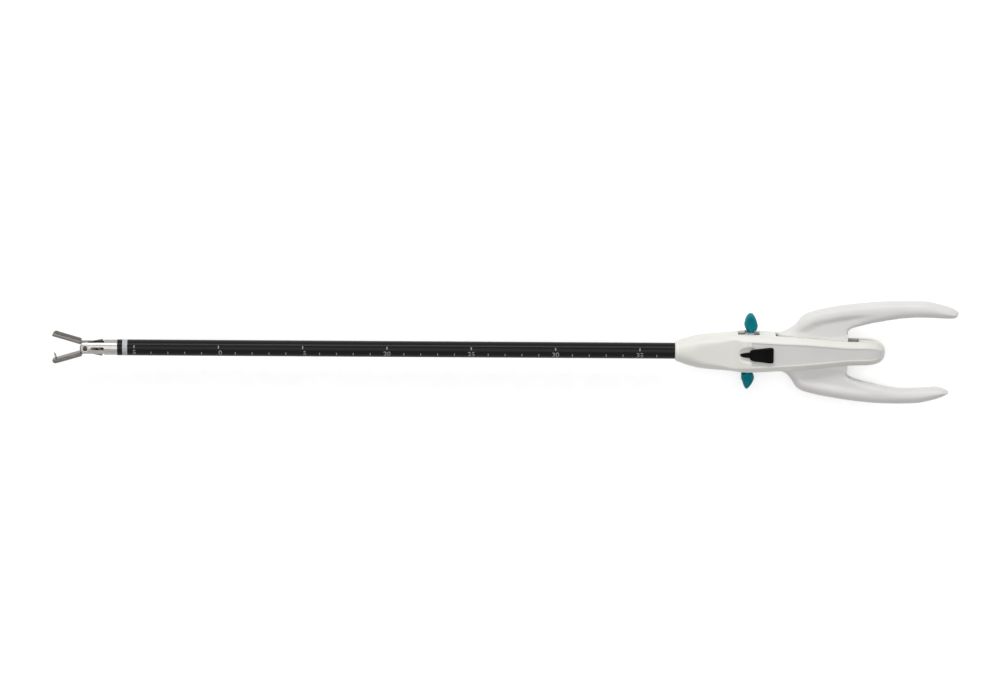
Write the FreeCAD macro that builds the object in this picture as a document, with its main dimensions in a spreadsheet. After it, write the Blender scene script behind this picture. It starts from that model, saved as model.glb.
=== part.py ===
import FreeCAD, Part
import math
import os

import Sketcher

# Endoscopic suturing device, millimetres.
# The long axis is X: the jaws point along -X and the handle along +X. Y runs
# through the two squeeze handles and Z comes out of the front shell. The origin
# is on the shaft axis, where the shaft leaves the nose of the housing.

SIZES = {
    # Shaft
    "shaft_diameter": 9.6,
    "shaft_wall": 0.6,
    "shaft_seat_depth": 14.0,
    "shaft_seat_diameter": 9.2,
    "shaft_shoulder_gap": 0.2,
    "shaft_front": -331.0,
    "tip_ring_length": 3.0,
    "tip_ring_depth": 0.3,
    "guide_length": 5.0,
    "guide_first_at": -300.0,
    "guide_pitch": 90.0,
    "seal_inset": 23.0,
    "seal_length": 8.0,
    # Rods inside the shaft
    "drive_rod_diameter": 2.4,
    "blade_rod_diameter": 0.9,
    "blade_rod_offset": 2.9,
    "blade_rod_front": -336.6,
    "rod_clearance": 0.04,
    "fit_clearance": 0.04,
    "side_gap": 0.1,
    # Clevis and jaws
    "jaw_pivot_at": -350.0,
    "clevis_nose": 2.3,
    "clevis_diameter": 9.2,
    "clevis_ear_height": 7.0,
    "clevis_ear_round": 1.9,
    "clevis_bore": 7.4,
    "clevis_spigot_length": 10.0,
    "slot_floor": 11.2,
    "guide_slot_start": 3.2,
    "guide_slot_end": 11.2,
    "jaw_open_angle": 16.35,
    "jaw_length": 20.9,
    "jaw_inner_face": 1.5,
    "jaw_half_breadth": 3.6,
    "jaw_tip_lip": 1.2,
    "jaw_tip_bulge_back": 0.84,
    "jaw_tip_bulge_drop": 0.6,
    "jaw_tip_run": 3.0,
    "jaw_shoulder_end": 1.9,
    "jaw_shoulder_height": 3.6,
    "cut_margin": 0.5,
    "jaw_arm_root": 3.6,
    "jaw_hub_radius": 3.2,
    "tail_thickness": 1.9,
    "tail_layer_gap": 0.1,
    "tongue_thickness": 1.9,
    "tail_end": 10.9,
    "tail_half_height": 1.6,
    "tail_crown": 3.15,
    "tail_root_low": 2.56,
    "pivot_pin_diameter": 2.0,
    "cam_pin_diameter": 1.6,
    "cam_pin_length": 8.4,
    "cam_pin_open": 5.5,
    "cam_travel": 3.8,
    "yoke_diameter": 3.2,
    "yoke_front_wall": 0.5,
    "yoke_neck_at": 8.5,
    "yoke_length": 14.0,
    # Needle and blades
    "needle_at": 18.7,
    "needle_diameter": 1.1,
    "needle_proud": 4.0,
    "needle_point": 1.5,
    "needle_tip_radius": 0.055,
    "needle_foot_recess": 0.36,
    "needle_groove": 0.27,
    "needle_hole_upper": 1.7,
    "blade_thickness": 0.5,
    "blade_height": 1.1,
    "blade_level": 3.0,
    "blade_travel": 1.15,
    "blade_slot_gap": 0.1,
    "blade_grip": 0.2,
    "blade_tail_gap": 0.4,
    # Housing shells
    "shell_wall": 2.0,
    "shell_bevel": 2.9,
    "inner_bevel": 2.1,
    "panel_front": 45.2,
    "panel_depth": 0.4,
    "panel_margin": 0.3,
    "cavity_front": 16.0,
    "cavity_rear": 119.0,
    "post_radius": 1.4,
    "post_reach": 3.0,
    "post_wall": 1.2,
    "post_front_at": 24.0,
    "post_rear_at": 57.5,
    "post_offset": 7.0,
    "arm_window_front": 59.5,
    "arm_window_rear": 109.0,
    "arm_window_half": 5.8,
    "window_inner": 4.8,
    "window_outer": 16.0,
    # Toggle
    "toggle_at": 43.6,
    "toggle_tilt": 2.6,
    "toggle_plate_inner": 3.2,
    "toggle_plate_thickness": 1.6,
    "toggle_plate_half_width": 3.4,
    "toggle_plate_shoulder": 7.14,
    "toggle_axle_radius": 2.5,
    "toggle_axle_length": 2.4,
    "toggle_boss_wall": 1.6,
    "toggle_pin_radius": 0.75,
    "toggle_pin_offset": 4.5,
    "toggle_slot_half": 6.4,
    "toggle_slot_inner": 7.0,
    "toggle_slot_gap": 0.4,
    "wing_root": 11.9,
    "wing_neck_half": 2.6,
    "wing_belly_at": 15.8,
    "wing_belly_half": 4.2,
    "wing_tip_at": 21.9,
    "wing_tip_round": 1.5,
    "slider_half_length": 2.2,
    "slider_half_breadth": 2.0,
    "slider_inner": 1.7,
    "slider_outer": 6.3,
    "slider_slot_inner": 3.5,
    "slider_slot_outer": 5.5,
    # Squeeze handles
    "arm_pivot_at": 68.0,
    "arm_pivot_offset": 6.2,
    "arm_swing": 10.0,
    "arm_pin_radius": 1.5,
    "arm_pin_half_length": 6.0,
    "arm_boss_wall": 1.7,
    "arm_hub_radius": 4.0,
    "lever_layer_gap": 0.2,
    "lever_thickness": 2.2,
    "lever_rear": 102.4,
    "lever_toe_front": 92.1,
    "lever_toe_low": 1.0,
    "lever_toe_bevel": 1.0,
    "lever_heel_bevel": 2.0,
    "lever_neck": 2.8,
    "lever_waist_drop": 0.4,
    "lever_web_overlap": 0.4,
    "web_half": 2.6,
    "web_low": 11.3,
    "grip_half": 5.6,
    "core_margin": 1.6,
    # Crosshead
    "crosshead_front": 80.0,
    "crosshead_bridge": 3.6,
    "crosshead_bridge_half": 2.0,
    "crosshead_rear": 107.5,
    "crosshead_rear_bridge": 2.0,
    "cheek_inner": 2.7,
    "cheek_thickness": 1.8,
    "cheek_half_height": 4.6,
    "crosshead_pin_at": 94.0,
    "crosshead_pin_offset": 3.0,
    "crosshead_pin_radius": 0.8,
    "crosshead_pin_tip": 0.4,
    "spring_stem_radius": 1.7,
    "spring_stem_length": 3.4,
    # Return spring
    "spring_wire": 0.7,
    "spring_radius": 2.6,
    "spring_pitch": 1.9,
    # Load button
    "button_front": 45.4,
    "button_rear": 58.1,
    "button_half_width": 4.65,
    "button_height": 2.0,
    "button_lift": 0.1,
    "button_corner": 1.6,
    "button_travel": 3.0,
    "button_stem_front": 50.0,
    "button_stem_length": 5.0,
    "button_stem_half": 2.0,
    "button_slot_gap": 0.15,
    "button_stem_low": 7.0,
    "button_tongue_front": 38.5,
    "button_tongue_half": 1.05,
    "button_tongue_thickness": 1.2,
    "scoop_at": 43.4,
    "scoop_radius": 6.2,
    "scoop_half_width": 4.65,
    "scoop_depth": 1.6,
    "catch_thickness": 1.6,
    "catch_half_width": 4.0,
    "catch_length": 6.0,
    "button_spring_wire": 0.45,
    "button_spring_radius": 1.2,
    "button_spring_pitch": 1.0,
    "button_spring_seat": 62.0,
    "button_seat_thickness": 1.8,
    "button_seat_drop": 0.8,
}

# The housing tapers through these stations, from the nose to the heel: place along
# the axis, half width and half depth.
STATIONS = {
    "nose": (0.0, 5.6, 5.6),
    "flare": (4.5, 7.4, 7.3),
    "collar": (9.0, 8.85, 8.6),
    "throat": (15.0, 10.2, 10.0),
    "chest": (27.0, 11.0, 11.3),
    "crown": (38.6, 11.35, 12.0),
    "body": (50.0, 10.9, 12.0),
    "flank": (62.0, 10.25, 12.0),
    "taper": (74.0, 9.65, 11.1),
    "waist": (90.0, 8.3, 9.9),
    "rear": (104.0, 7.1, 8.9),
    "heel": (117.0, 6.9, 8.0),
    "round": (122.4, 5.9, 7.0),
    "tail": (124.7, 3.7, 4.6),
}

# Outline of each squeeze handle in the plane of the arms: distance along the axis
# and distance from it, the same for both where the two handles match.
GRIP = {
    "upper": {
        "shoulder": (61.0, 11.6),
        "brow": (65.5, 13.0),
        "horn_foot": (71.6, 16.4),
        "horn_mid": (74.0, 20.0),
        "horn_top": (78.0, 23.2),
        "back": (104.0, 28.4),
        "crest": (138.0, 31.0),
        "crest_end": (150.0, 30.8),
        "tip_bend": (160.5, 28.2),
        "tip_top": (167.2, 25.2),
        "tip": (168.7, 22.9),
        "tip_low": (165.6, 20.9),
        "palm_end": (152.0, 21.1),
        "palm": (137.0, 21.2),
        "palm_root": (122.0, 18.5),
        "crotch_end": (106.5, 15.0),
        "crotch": (102.6, 13.0),
        "core_foot": (70.0, 13.6),
        "core_top": (80.0, 21.6),
        "core_end_top": (118.0, 26.6),
        "core_end_low": (118.0, 20.4),
    },
    "lower": {
        "shoulder": (61.0, 11.6),
        "brow": (65.0, 12.6),
        "horn_foot": (69.8, 16.6),
        "horn_mid": (72.0, 20.6),
        "horn_top": (76.0, 23.8),
        "back": (104.0, 29.2),
        "crest": (132.0, 31.2),
        "crest_end": (143.0, 30.9),
        "tip_bend": (155.0, 28.0),
        "tip_top": (162.3, 25.2),
        "tip": (163.6, 23.6),
        "tip_low": (161.2, 22.2),
        "palm_end": (154.0, 20.4),
        "palm": (137.0, 21.9),
        "palm_root": (120.0, 19.2),
        "crotch_end": (104.0, 15.8),
        "crotch": (102.6, 13.0),
        "core_foot": (69.0, 13.6),
        "core_top": (78.0, 22.2),
        "core_end_top": (116.0, 27.4),
        "core_end_low": (116.0, 21.0),
    },
}

GUIDES = 4
LEAST_CUT = 1e-6  # mm3, a cut that takes less has missed the solid

doc = FreeCAD.newDocument("endoscopic_suturing_device")
sheet = doc.addObject("Spreadsheet::Sheet", "Sizes")
nodes = []


class Size:
    """A dimension: its number now, and the formula that ties it to the sheet."""

    def __init__(self, number, formula):
        self.number = number
        self.formula = formula

    def __add__(self, other):
        return Size(self.number + number_of(other), f"({self.formula} + {formula_of(other)})")

    def __radd__(self, other):
        return Size(number_of(other) + self.number, f"({formula_of(other)} + {self.formula})")

    def __sub__(self, other):
        return Size(self.number - number_of(other), f"({self.formula} - {formula_of(other)})")

    def __rsub__(self, other):
        return Size(number_of(other) - self.number, f"({formula_of(other)} - {self.formula})")

    def __mul__(self, other):
        return Size(self.number * number_of(other), f"({self.formula} * {formula_of(other)})")

    __rmul__ = __mul__

    def __truediv__(self, other):
        return Size(self.number / number_of(other), f"({self.formula} / {formula_of(other)})")

    def __neg__(self):
        return Size(-self.number, f"(0 - {self.formula})")


def number_of(value):
    return value.number if isinstance(value, Size) else float(value)


def formula_of(value):
    return value.formula if isinstance(value, Size) else repr(value)


def sine(angle):
    return Size(math.sin(math.radians(angle.number)), f"sin({angle.formula})")


def cosine(angle):
    return Size(math.cos(math.radians(angle.number)), f"cos({angle.formula})")


def root(value):
    return Size(math.sqrt(value.number), f"sqrt({value.formula})")


def fill_sheet():
    rows = dict(SIZES)
    for station, (at, half_width, half_depth) in STATIONS.items():
        rows[station + "_at"] = at
        rows[station + "_half_width"] = half_width
        rows[station + "_half_depth"] = half_depth
    for side, points in GRIP.items():
        for point, (along, out) in points.items():
            rows[f"{side}_{point}_along"] = along
            rows[f"{side}_{point}_out"] = out
    for row, (alias, number) in enumerate(rows.items(), start=1):
        sheet.set(f"A{row}", alias)
        sheet.set(f"B{row}", str(number))
        sheet.setAlias(f"B{row}", alias)
    doc.recompute()
    return {alias: Size(float(sheet.get(alias)), "Sizes." + alias) for alias in rows}


size = fill_sheet()


def bind(thing, **values):
    """Tie properties of an object to sizes, such as Length=size["guide_length"]."""
    for name, value in values.items():
        thing.setExpression(name, formula_of(value))


def place(thing, x=0, y=0, z=0, turn=None):
    """Put an object at x, y, z, turned about its own Z by an angle if one is given."""
    for axis, value in (("x", x), ("y", y), ("z", z)):
        thing.setExpression(".Placement.Base." + axis, formula_of(value))
    if turn is not None:
        thing.setExpression(".Placement.Rotation.Angle", formula_of(turn))
    return thing


def keep(thing, label):
    thing.Label = label
    nodes.append(thing)
    return thing


# Sketches. A loop is a list of corners (a, b); a corner (a, b, "via") is a point
# that the arc between its two neighbours passes through.

def anchor(sketch, shape_index, vertex, point):
    """Fix a vertex of the sketch at a point given by two sizes."""
    for kind, value in zip(("DistanceX", "DistanceY"), point):
        number = number_of(value)
        index = sketch.addConstraint(Sketcher.Constraint(kind, -1, 1, shape_index, vertex, number))
        sketch.setExpression(f"Constraints[{index}]", formula_of(value))


def flat_point(point):
    return FreeCAD.Vector(number_of(point[0]), number_of(point[1]), 0)


def arc_through(start, middle, end):
    """An arc for a sketch, and which of its ends (1 or 2) lies at start and at end."""
    a, b, c = flat_point(start), flat_point(middle), flat_point(end)
    counter_clockwise = (b - a).cross(c - b).z > 0
    centre = Part.Arc(a, b, c).toShape().Curve.Center
    first, last = (a, c) if counter_clockwise else (c, a)
    angles = [math.atan2(p.y - centre.y, p.x - centre.x) for p in (first, last)]
    if angles[1] <= angles[0]:
        angles[1] += 2 * math.pi
    ring = Part.Circle(centre, FreeCAD.Vector(0, 0, 1), (a - centre).Length)
    arc = Part.ArcOfCircle(ring, angles[0], angles[1])
    return arc, (1, 2) if counter_clockwise else (2, 1)


def draw_loop(sketch, corners):
    corners = list(corners)
    while len(corners[0]) == 3:
        corners = corners[1:] + corners[:1]
    ends = [corner for corner in corners if len(corner) == 2]
    segments = []
    position = 0
    while position < len(corners):
        start = corners[position]
        after = corners[(position + 1) % len(corners)]
        if len(after) == 3:
            end = corners[(position + 2) % len(corners)]
            arc, order = arc_through(start, after, end)
            index = sketch.addGeometry(arc)
            middle = sketch.addGeometry(Part.Point(flat_point(after)), True)
            anchor(sketch, middle, 1, after[:2])
            sketch.addConstraint(Sketcher.Constraint("PointOnObject", middle, 1, index))
            segments.append((index, order))
            position += 2
        else:
            line = Part.LineSegment(flat_point(start), flat_point(after))
            segments.append((sketch.addGeometry(line), (1, 2)))
            position += 1
    for number, (index, order) in enumerate(segments):
        following, next_order = segments[(number + 1) % len(segments)]
        sketch.addConstraint(Sketcher.Constraint("Coincident", index, order[1], following, next_order[0]))
        anchor(sketch, index, order[0], ends[number])


def draw_circle(sketch, centre, radius):
    ring = Part.Circle(flat_point(centre), FreeCAD.Vector(0, 0, 1), number_of(radius))
    index = sketch.addGeometry(ring)
    anchor(sketch, index, 3, centre)
    constraint = sketch.addConstraint(Sketcher.Constraint("Radius", index, number_of(radius)))
    sketch.setExpression(f"Constraints[{constraint}]", formula_of(radius))


def draw_arc_slot(sketch, start, middle, end, half_width):
    """A curved slot: its centre line runs through three points."""
    a, b, c = flat_point(start), flat_point(middle), flat_point(end)
    line, order = arc_through(start, middle, end)
    if order == (2, 1):
        start, end = end, start
        a, c = c, a
    centre = line.Center
    reach = line.Radius
    half = number_of(half_width)
    up = FreeCAD.Vector(0, 0, 1)
    first = math.atan2(a.y - centre.y, a.x - centre.x)
    last = math.atan2(c.y - centre.y, c.x - centre.x)
    if last <= first:
        last += 2 * math.pi
    outer = sketch.addGeometry(Part.ArcOfCircle(Part.Circle(centre, up, reach + half), first, last))
    inner = sketch.addGeometry(Part.ArcOfCircle(Part.Circle(centre, up, reach - half), first, last))
    head = sketch.addGeometry(Part.ArcOfCircle(Part.Circle(c, up, half), last, last + math.pi))
    foot = sketch.addGeometry(Part.ArcOfCircle(Part.Circle(a, up, half), first - math.pi, first))
    track = sketch.addGeometry(Part.Circle(centre, up, reach), True)
    marker = sketch.addGeometry(Part.Point(b), True)
    sketch.addConstraint(Sketcher.Constraint("Coincident", outer, 3, inner, 3))
    sketch.addConstraint(Sketcher.Constraint("Coincident", outer, 3, track, 3))
    sketch.addConstraint(Sketcher.Constraint("Tangent", outer, 2, head, 1))
    sketch.addConstraint(Sketcher.Constraint("Tangent", head, 2, inner, 2))
    sketch.addConstraint(Sketcher.Constraint("Tangent", inner, 1, foot, 1))
    sketch.addConstraint(Sketcher.Constraint("Tangent", foot, 2, outer, 1))
    anchor(sketch, head, 3, end)
    anchor(sketch, foot, 3, start)
    anchor(sketch, marker, 1, middle)
    sketch.addConstraint(Sketcher.Constraint("PointOnObject", foot, 3, track))
    sketch.addConstraint(Sketcher.Constraint("PointOnObject", marker, 1, track))
    radius = sketch.addConstraint(Sketcher.Constraint("Radius", head, half))
    sketch.setExpression(f"Constraints[{radius}]", formula_of(half_width))


def box_loop(low_a, high_a, low_b, high_b):
    return [(low_a, low_b), (high_a, low_b), (high_a, high_b), (low_a, high_b)]


class Piece:
    """One sub-part as a body: profiles are added to it and cut from it in turn."""

    def __init__(self, label):
        self.body = doc.addObject("PartDesign::Body", label)
        keep(self.body, label)

    def sketch(self, plane, level, loops=(), circles=(), slots=()):
        sketch = self.body.newObject("Sketcher::SketchObject", "Profile")
        origin = self.body.Origin.OriginFeatures
        sketch.AttachmentSupport = [(next(f for f in origin if f.Role == plane + "_Plane"), "")]
        sketch.MapMode = "FlatFace"
        sketch.setExpression(".AttachmentOffset.Base.z", formula_of(level))
        for corners in loops:
            draw_loop(sketch, corners)
        for centre, radius in circles:
            draw_circle(sketch, centre, radius)
        for start, middle, end, half_width in slots:
            draw_arc_slot(sketch, start, middle, end, half_width)
        return sketch

    def feature(self, kind, sketch):
        feature = self.body.newObject("PartDesign::" + kind, kind)
        feature.Profile = sketch
        feature.Refine = False
        return feature

    def settle(self, feature):
        """Work the feature out, and stop with its own message if it can't be made."""
        doc.recompute()
        if not feature.isValid():
            raise ValueError(f"{self.body.Label}: {feature.Name}: {feature.getStatusString()}")
        return feature

    def pad(self, plane, low, high, **shapes):
        pad = self.feature("Pad", self.sketch(plane, low, **shapes))
        bind(pad, Length=high - low)
        return self.settle(pad)

    def cut(self, plane, low, high, **shapes):
        """Cut a profile away between two levels, which lie across the solid."""
        before = self.body.Shape.Volume
        pocket = self.feature("Pocket", self.sketch(plane, low, **shapes))
        pocket.Reversed = True
        bind(pocket, Length=high - low)
        self.settle(pocket)
        if not self.body.Shape.Volume < before - LEAST_CUT:
            raise ValueError(f"a cut in {self.body.Label} removes nothing")
        return pocket

    def turn(self, corners, kind="Revolution"):
        """Revolve a loop (along X, out from X) about the X axis, to add or to groove."""
        sketch = self.sketch("XY", zero, loops=[corners])
        feature = self.feature(kind, sketch)
        feature.ReferenceAxis = (sketch, ["H_Axis"])
        feature.Angle = 360.0
        return self.settle(feature)

    def loft(self, kind, sections):
        """Loft through sections, each a level along X and a loop of (y, z) corners."""
        sketches = [self.sketch("YZ", level, loops=[corners]) for level, corners in sections]
        loft = self.feature(kind, sketches[0])
        loft.Sections = sketches[1:]
        loft.Ruled = True
        return self.settle(loft)


def cylinder(name, radius, low, high, axis="z", x=0, y=0, z=0):
    """A cylinder along an axis, from low to high on it."""
    thing = doc.addObject("Part::Cylinder", name)
    bind(thing, Radius=radius, Height=high - low)
    if axis == "x":
        thing.Placement.Rotation = FreeCAD.Rotation(FreeCAD.Vector(0, 1, 0), 90)
        return place(thing, x=low, y=y, z=z)
    return place(thing, x=x, y=y, z=low)


def group(label, things):
    compound = doc.addObject("Part::Compound", label)
    compound.Links = things
    return keep(compound, label)


# Values that several pieces share

zero = Size(0.0, "0")
shaft_radius = size["shaft_diameter"] / 2
shaft_bore = shaft_radius - size["shaft_wall"]
seat_radius = size["shaft_seat_diameter"] / 2
drive_rod_radius = size["drive_rod_diameter"] / 2
blade_rod_radius = size["blade_rod_diameter"] / 2
clevis_radius = size["clevis_diameter"] / 2
pivot_pin_radius = size["pivot_pin_diameter"] / 2
cam_pin_radius = size["cam_pin_diameter"] / 2
needle_radius = size["needle_diameter"] / 2
tongue_half = size["tongue_thickness"] / 2
tail_low = tongue_half + size["tail_layer_gap"]
tail_high = tail_low + size["tail_thickness"]
cheek_face = tail_high + size["tail_layer_gap"]
cam_pin_at = size["jaw_pivot_at"] + size["cam_pin_open"]
corner_middle = 1 - math.sqrt(0.5)  # middle of a quarter arc, as a share of its radius


def shell_at(along, part):
    """Half width or half depth of the housing at a place along it, between stations."""
    names = list(STATIONS)
    for before, after in zip(names, names[1:]):
        if along.number <= size[after + "_at"].number:
            break
    low, high = size[before + "_" + part], size[after + "_" + part]
    share = (along - size[before + "_at"]) / (size[after + "_at"] - size[before + "_at"])
    return low + (high - low) * share


def make_shaft():
    ring_end = size["shaft_front"] + size["tip_ring_length"] * 2
    neck = shaft_radius - size["tip_ring_depth"]
    shoulder = -size["shaft_shoulder_gap"]
    tube = Piece("shaft_tube")
    tube.turn([(size["shaft_front"], shaft_bore), (size["shaft_seat_depth"], shaft_bore),
               (size["shaft_seat_depth"], seat_radius), (shoulder, seat_radius),
               (shoulder, shaft_radius), (ring_end, shaft_radius),
               (ring_end, neck), (size["shaft_front"], neck)])
    for label, order in (("shaft_tip_ring", 0), ("shaft_marker_ring", 1)):
        front = size["shaft_front"] + size["tip_ring_length"] * order
        ring = Piece(label)
        rear = front + size["tip_ring_length"]
        ring.turn([(front, neck), (rear, neck), (rear, shaft_radius), (front, shaft_radius)])


def rod_holes():
    """The three bores that a guide or the seal needs: drive rod and both blade rods."""
    gap = size["rod_clearance"]
    return [((zero, zero), drive_rod_radius + gap),
            ((size["blade_rod_offset"], zero), blade_rod_radius + gap),
            ((-size["blade_rod_offset"], zero), blade_rod_radius + gap)]


def make_rod_guides():
    guides = []
    for number in range(GUIDES):
        front = size["guide_first_at"] + size["guide_pitch"] * number
        rear = front + size["guide_length"]
        disc = cylinder("guide_disc", shaft_bore, front, rear, "x")
        bores = doc.addObject("Part::MultiFuse", "guide_bores")
        gap = size["rod_clearance"]
        offset = size["blade_rod_offset"]
        bores.Shapes = [
            cylinder("drive_bore", drive_rod_radius + gap, front, rear, "x"),
            cylinder("blade_bore", blade_rod_radius + gap, front, rear, "x", y=offset),
            cylinder("blade_bore", blade_rod_radius + gap, front, rear, "x", y=-offset),
        ]
        guide = doc.addObject("Part::Cut", "guide")
        guide.Base = disc
        guide.Tool = bores
        guides.append(guide)
    group("rod_guides", guides)
    seal = Piece("shaft_seal")
    front = size["shaft_seat_depth"] - size["seal_inset"]
    rear = front + size["seal_length"]
    seal.pad("YZ", front, rear, circles=[((zero, zero), shaft_bore)])
    seal.cut("YZ", front, rear, circles=rod_holes())


def make_clevis():
    pivot = size["jaw_pivot_at"]
    nose = pivot - size["clevis_nose"]
    floor = pivot + size["slot_floor"]
    spigot_end = size["shaft_front"] + size["clevis_spigot_length"]
    bore = size["clevis_bore"] / 2
    clevis = Piece("jaw_clevis")
    clevis.turn([(nose, zero), (spigot_end, zero), (spigot_end, shaft_bore),
                 (size["shaft_front"], shaft_bore), (size["shaft_front"], clevis_radius),
                 (nose, clevis_radius)])
    clevis.cut("YZ", floor - size["tail_layer_gap"], spigot_end, circles=[((zero, zero), bore)])
    clevis.cut("XY", -cheek_face, cheek_face,
               loops=[box_loop(nose, floor, -clevis_radius, clevis_radius)])
    ear = size["clevis_ear_height"] / 2
    bend = size["clevis_ear_round"]
    shoulder = pivot + bend
    middle = bend * corner_middle
    for side in (1, -1):
        corner = ear - bend
        trim = [(nose, clevis_radius * side), (nose, corner * side),
                (nose + middle, (ear - middle) * side, "via"),
                (nose + bend, ear * side), (shoulder, ear * side),
                (shoulder + (clevis_radius - ear), clevis_radius * side)]
        clevis.cut("XY", -clevis_radius, clevis_radius, loops=[trim])
    slot_half = cam_pin_radius + size["fit_clearance"]
    start = pivot + size["guide_slot_start"]
    end = pivot + size["guide_slot_end"]
    clevis.cut("XY", -clevis_radius, clevis_radius, loops=[[
        (start + slot_half, -slot_half), (end - slot_half, -slot_half),
        (end, zero, "via"), (end - slot_half, slot_half),
        (start + slot_half, slot_half), (start, zero, "via")]])
    clevis.cut("XY", -clevis_radius, clevis_radius, circles=[((pivot, zero), pivot_pin_radius)])
    keep(cylinder("pivot", pivot_pin_radius, -clevis_radius, clevis_radius, x=pivot),
         "jaw_pivot_pin")
    half = size["cam_pin_length"] / 2
    keep(cylinder("cam", cam_pin_radius, -half, half, x=cam_pin_at), "cam_pin")


def jaw_slot_point(share, side):
    """Place of the cam pin in the jaw's own frame, with the jaws open by a share."""
    angle = size["jaw_open_angle"] * share
    distance = size["cam_pin_open"] + size["cam_travel"] * (1 - share)
    return distance * cosine(angle), distance * sine(angle) * side


def make_jaw(name, side):
    """One jaw, modelled closed about its pivot: side is 1 above the axis and -1 below."""
    inner = size["jaw_inner_face"] * side
    outer = clevis_radius * side
    tip = -size["jaw_length"]
    rear = -size["jaw_arm_root"]
    lip = size["jaw_tip_lip"]
    layer = (tail_low, tail_high) if side > 0 else (-tail_high, -tail_low)
    hub_layer = (size["tail_layer_gap"] / 2, tail_high)
    if side < 0:
        hub_layer = (-tail_high, -size["tail_layer_gap"] / 2)
    jaw = Piece("jaw_" + name)
    hub = size["jaw_hub_radius"]
    shoulder = size["jaw_shoulder_height"] * side
    half = size["jaw_half_breadth"]
    edge = root(clevis_radius * clevis_radius - half * half) * side
    jaw.pad("YZ", tip, rear, loops=[[(inner, -half), (inner, half), (edge, half),
                                     (outer, zero, "via"), (edge, -half)]])
    reach = (clevis_radius + size["cut_margin"]) * side
    jaw.cut("XY", -clevis_radius, clevis_radius, loops=[[
        (tip, inner + lip * side),
        (tip + size["jaw_tip_bulge_back"], outer - size["jaw_tip_bulge_drop"] * side, "via"),
        (tip + size["jaw_tip_run"], reach), (tip - lip, reach), (tip - lip, inner + lip * side)]])
    jaw.pad("XY", hub_layer[0], hub_layer[1], loops=[[
        (rear - lip, inner), (zero, inner), (zero, hub * side),
        (-size["jaw_shoulder_end"], shoulder), (rear - lip, shoulder)]])
    jaw.pad("XY", hub_layer[0], hub_layer[1], circles=[((zero, zero), hub)])
    tail = size["tail_end"]
    low = size["tail_half_height"]
    open_point = jaw_slot_point(1, side)
    jaw.pad("XY", layer[0], layer[1], loops=[[
        (zero, -size["tail_root_low"] * side), (tail, -low * side), (tail, low * side),
        (open_point[0], size["tail_crown"] * side), (zero, hub * side)]])
    through = (-clevis_radius, clevis_radius)
    jaw.cut("XY", through[0], through[1],
            circles=[((zero, zero), pivot_pin_radius + size["fit_clearance"])])
    jaw.cut("XY", through[0], through[1],
            slots=[(jaw_slot_point(1, side), jaw_slot_point(0.5, side), jaw_slot_point(0, side),
                    cam_pin_radius + size["fit_clearance"])])
    gap = size["blade_slot_gap"]
    level = size["blade_level"] * side
    high = size["blade_height"] / 2 + gap
    wide = size["blade_thickness"] / 2 + gap
    channel_end = -size["needle_at"] + needle_radius / 2
    jaw.cut("YZ", channel_end, rear, loops=[box_loop(level - high, level + high, -wide, wide)])
    hole = size["needle_hole_upper"] / 2 if side > 0 else needle_radius
    drill = jaw.sketch("XZ", -outer - lip * side if side > 0 else -inner - lip,
                       circles=[((-size["needle_at"], zero), hole)])
    pocket = jaw.feature("Pocket", drill)
    pocket.Reversed = True
    bind(pocket, Length=size["clevis_diameter"])
    doc.recompute()
    place(jaw.body, x=size["jaw_pivot_at"], turn=-size["jaw_open_angle"] * side)


def make_needle():
    """The needle stands in the lower jaw, square to it, with its point towards the upper."""
    top = -size["jaw_inner_face"] + size["needle_proud"]
    bottom = -clevis_radius + size["needle_foot_recess"]
    groove_low = -size["blade_level"] - size["blade_height"] / 2 - size["blade_slot_gap"]
    groove_high = -size["blade_level"] + size["blade_height"] / 2 + size["blade_slot_gap"]
    at = -size["needle_at"]
    needle = Piece("needle")
    sketch = needle.sketch("XY", zero, loops=[[
        (at, bottom), (at + needle_radius, bottom), (at + needle_radius, groove_low),
        (at + size["needle_groove"], groove_low), (at + size["needle_groove"], groove_high),
        (at + needle_radius, groove_high), (at + needle_radius, top - size["needle_point"]),
        (at + size["needle_tip_radius"], top), (at, top)]])
    line = sketch.addGeometry(Part.LineSegment(flat_point((at, bottom)), flat_point((at, top))), True)
    anchor(sketch, line, 1, (at, bottom))
    anchor(sketch, line, 2, (at, top))
    doc.recompute()
    body = needle.feature("Revolution", sketch)
    body.ReferenceAxis = (sketch, ["Axis0"])
    body.Angle = 360.0
    doc.recompute()
    place(needle.body, x=size["jaw_pivot_at"], turn=size["jaw_open_angle"])


def make_blade(name, side):
    """A flat strip in the jaw's channel that locks the needle when it slides forward."""
    level = size["blade_level"] * side
    lean = size["toggle_pin_offset"] * sine(size["toggle_tilt"]) * side
    front = -size["needle_at"] + needle_radius + size["blade_travel"] - size["blade_grip"] + lean
    rear = -size["jaw_arm_root"] - size["blade_travel"] - size["blade_tail_gap"] + lean
    half = size["blade_height"] / 2
    wide = size["blade_thickness"] / 2
    blade = Piece("blade_" + name)
    blade.pad("XY", -wide, wide, loops=[box_loop(front, rear, level - half, level + half)])
    place(blade.body, x=size["jaw_pivot_at"], turn=-size["jaw_open_angle"] * side)


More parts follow.
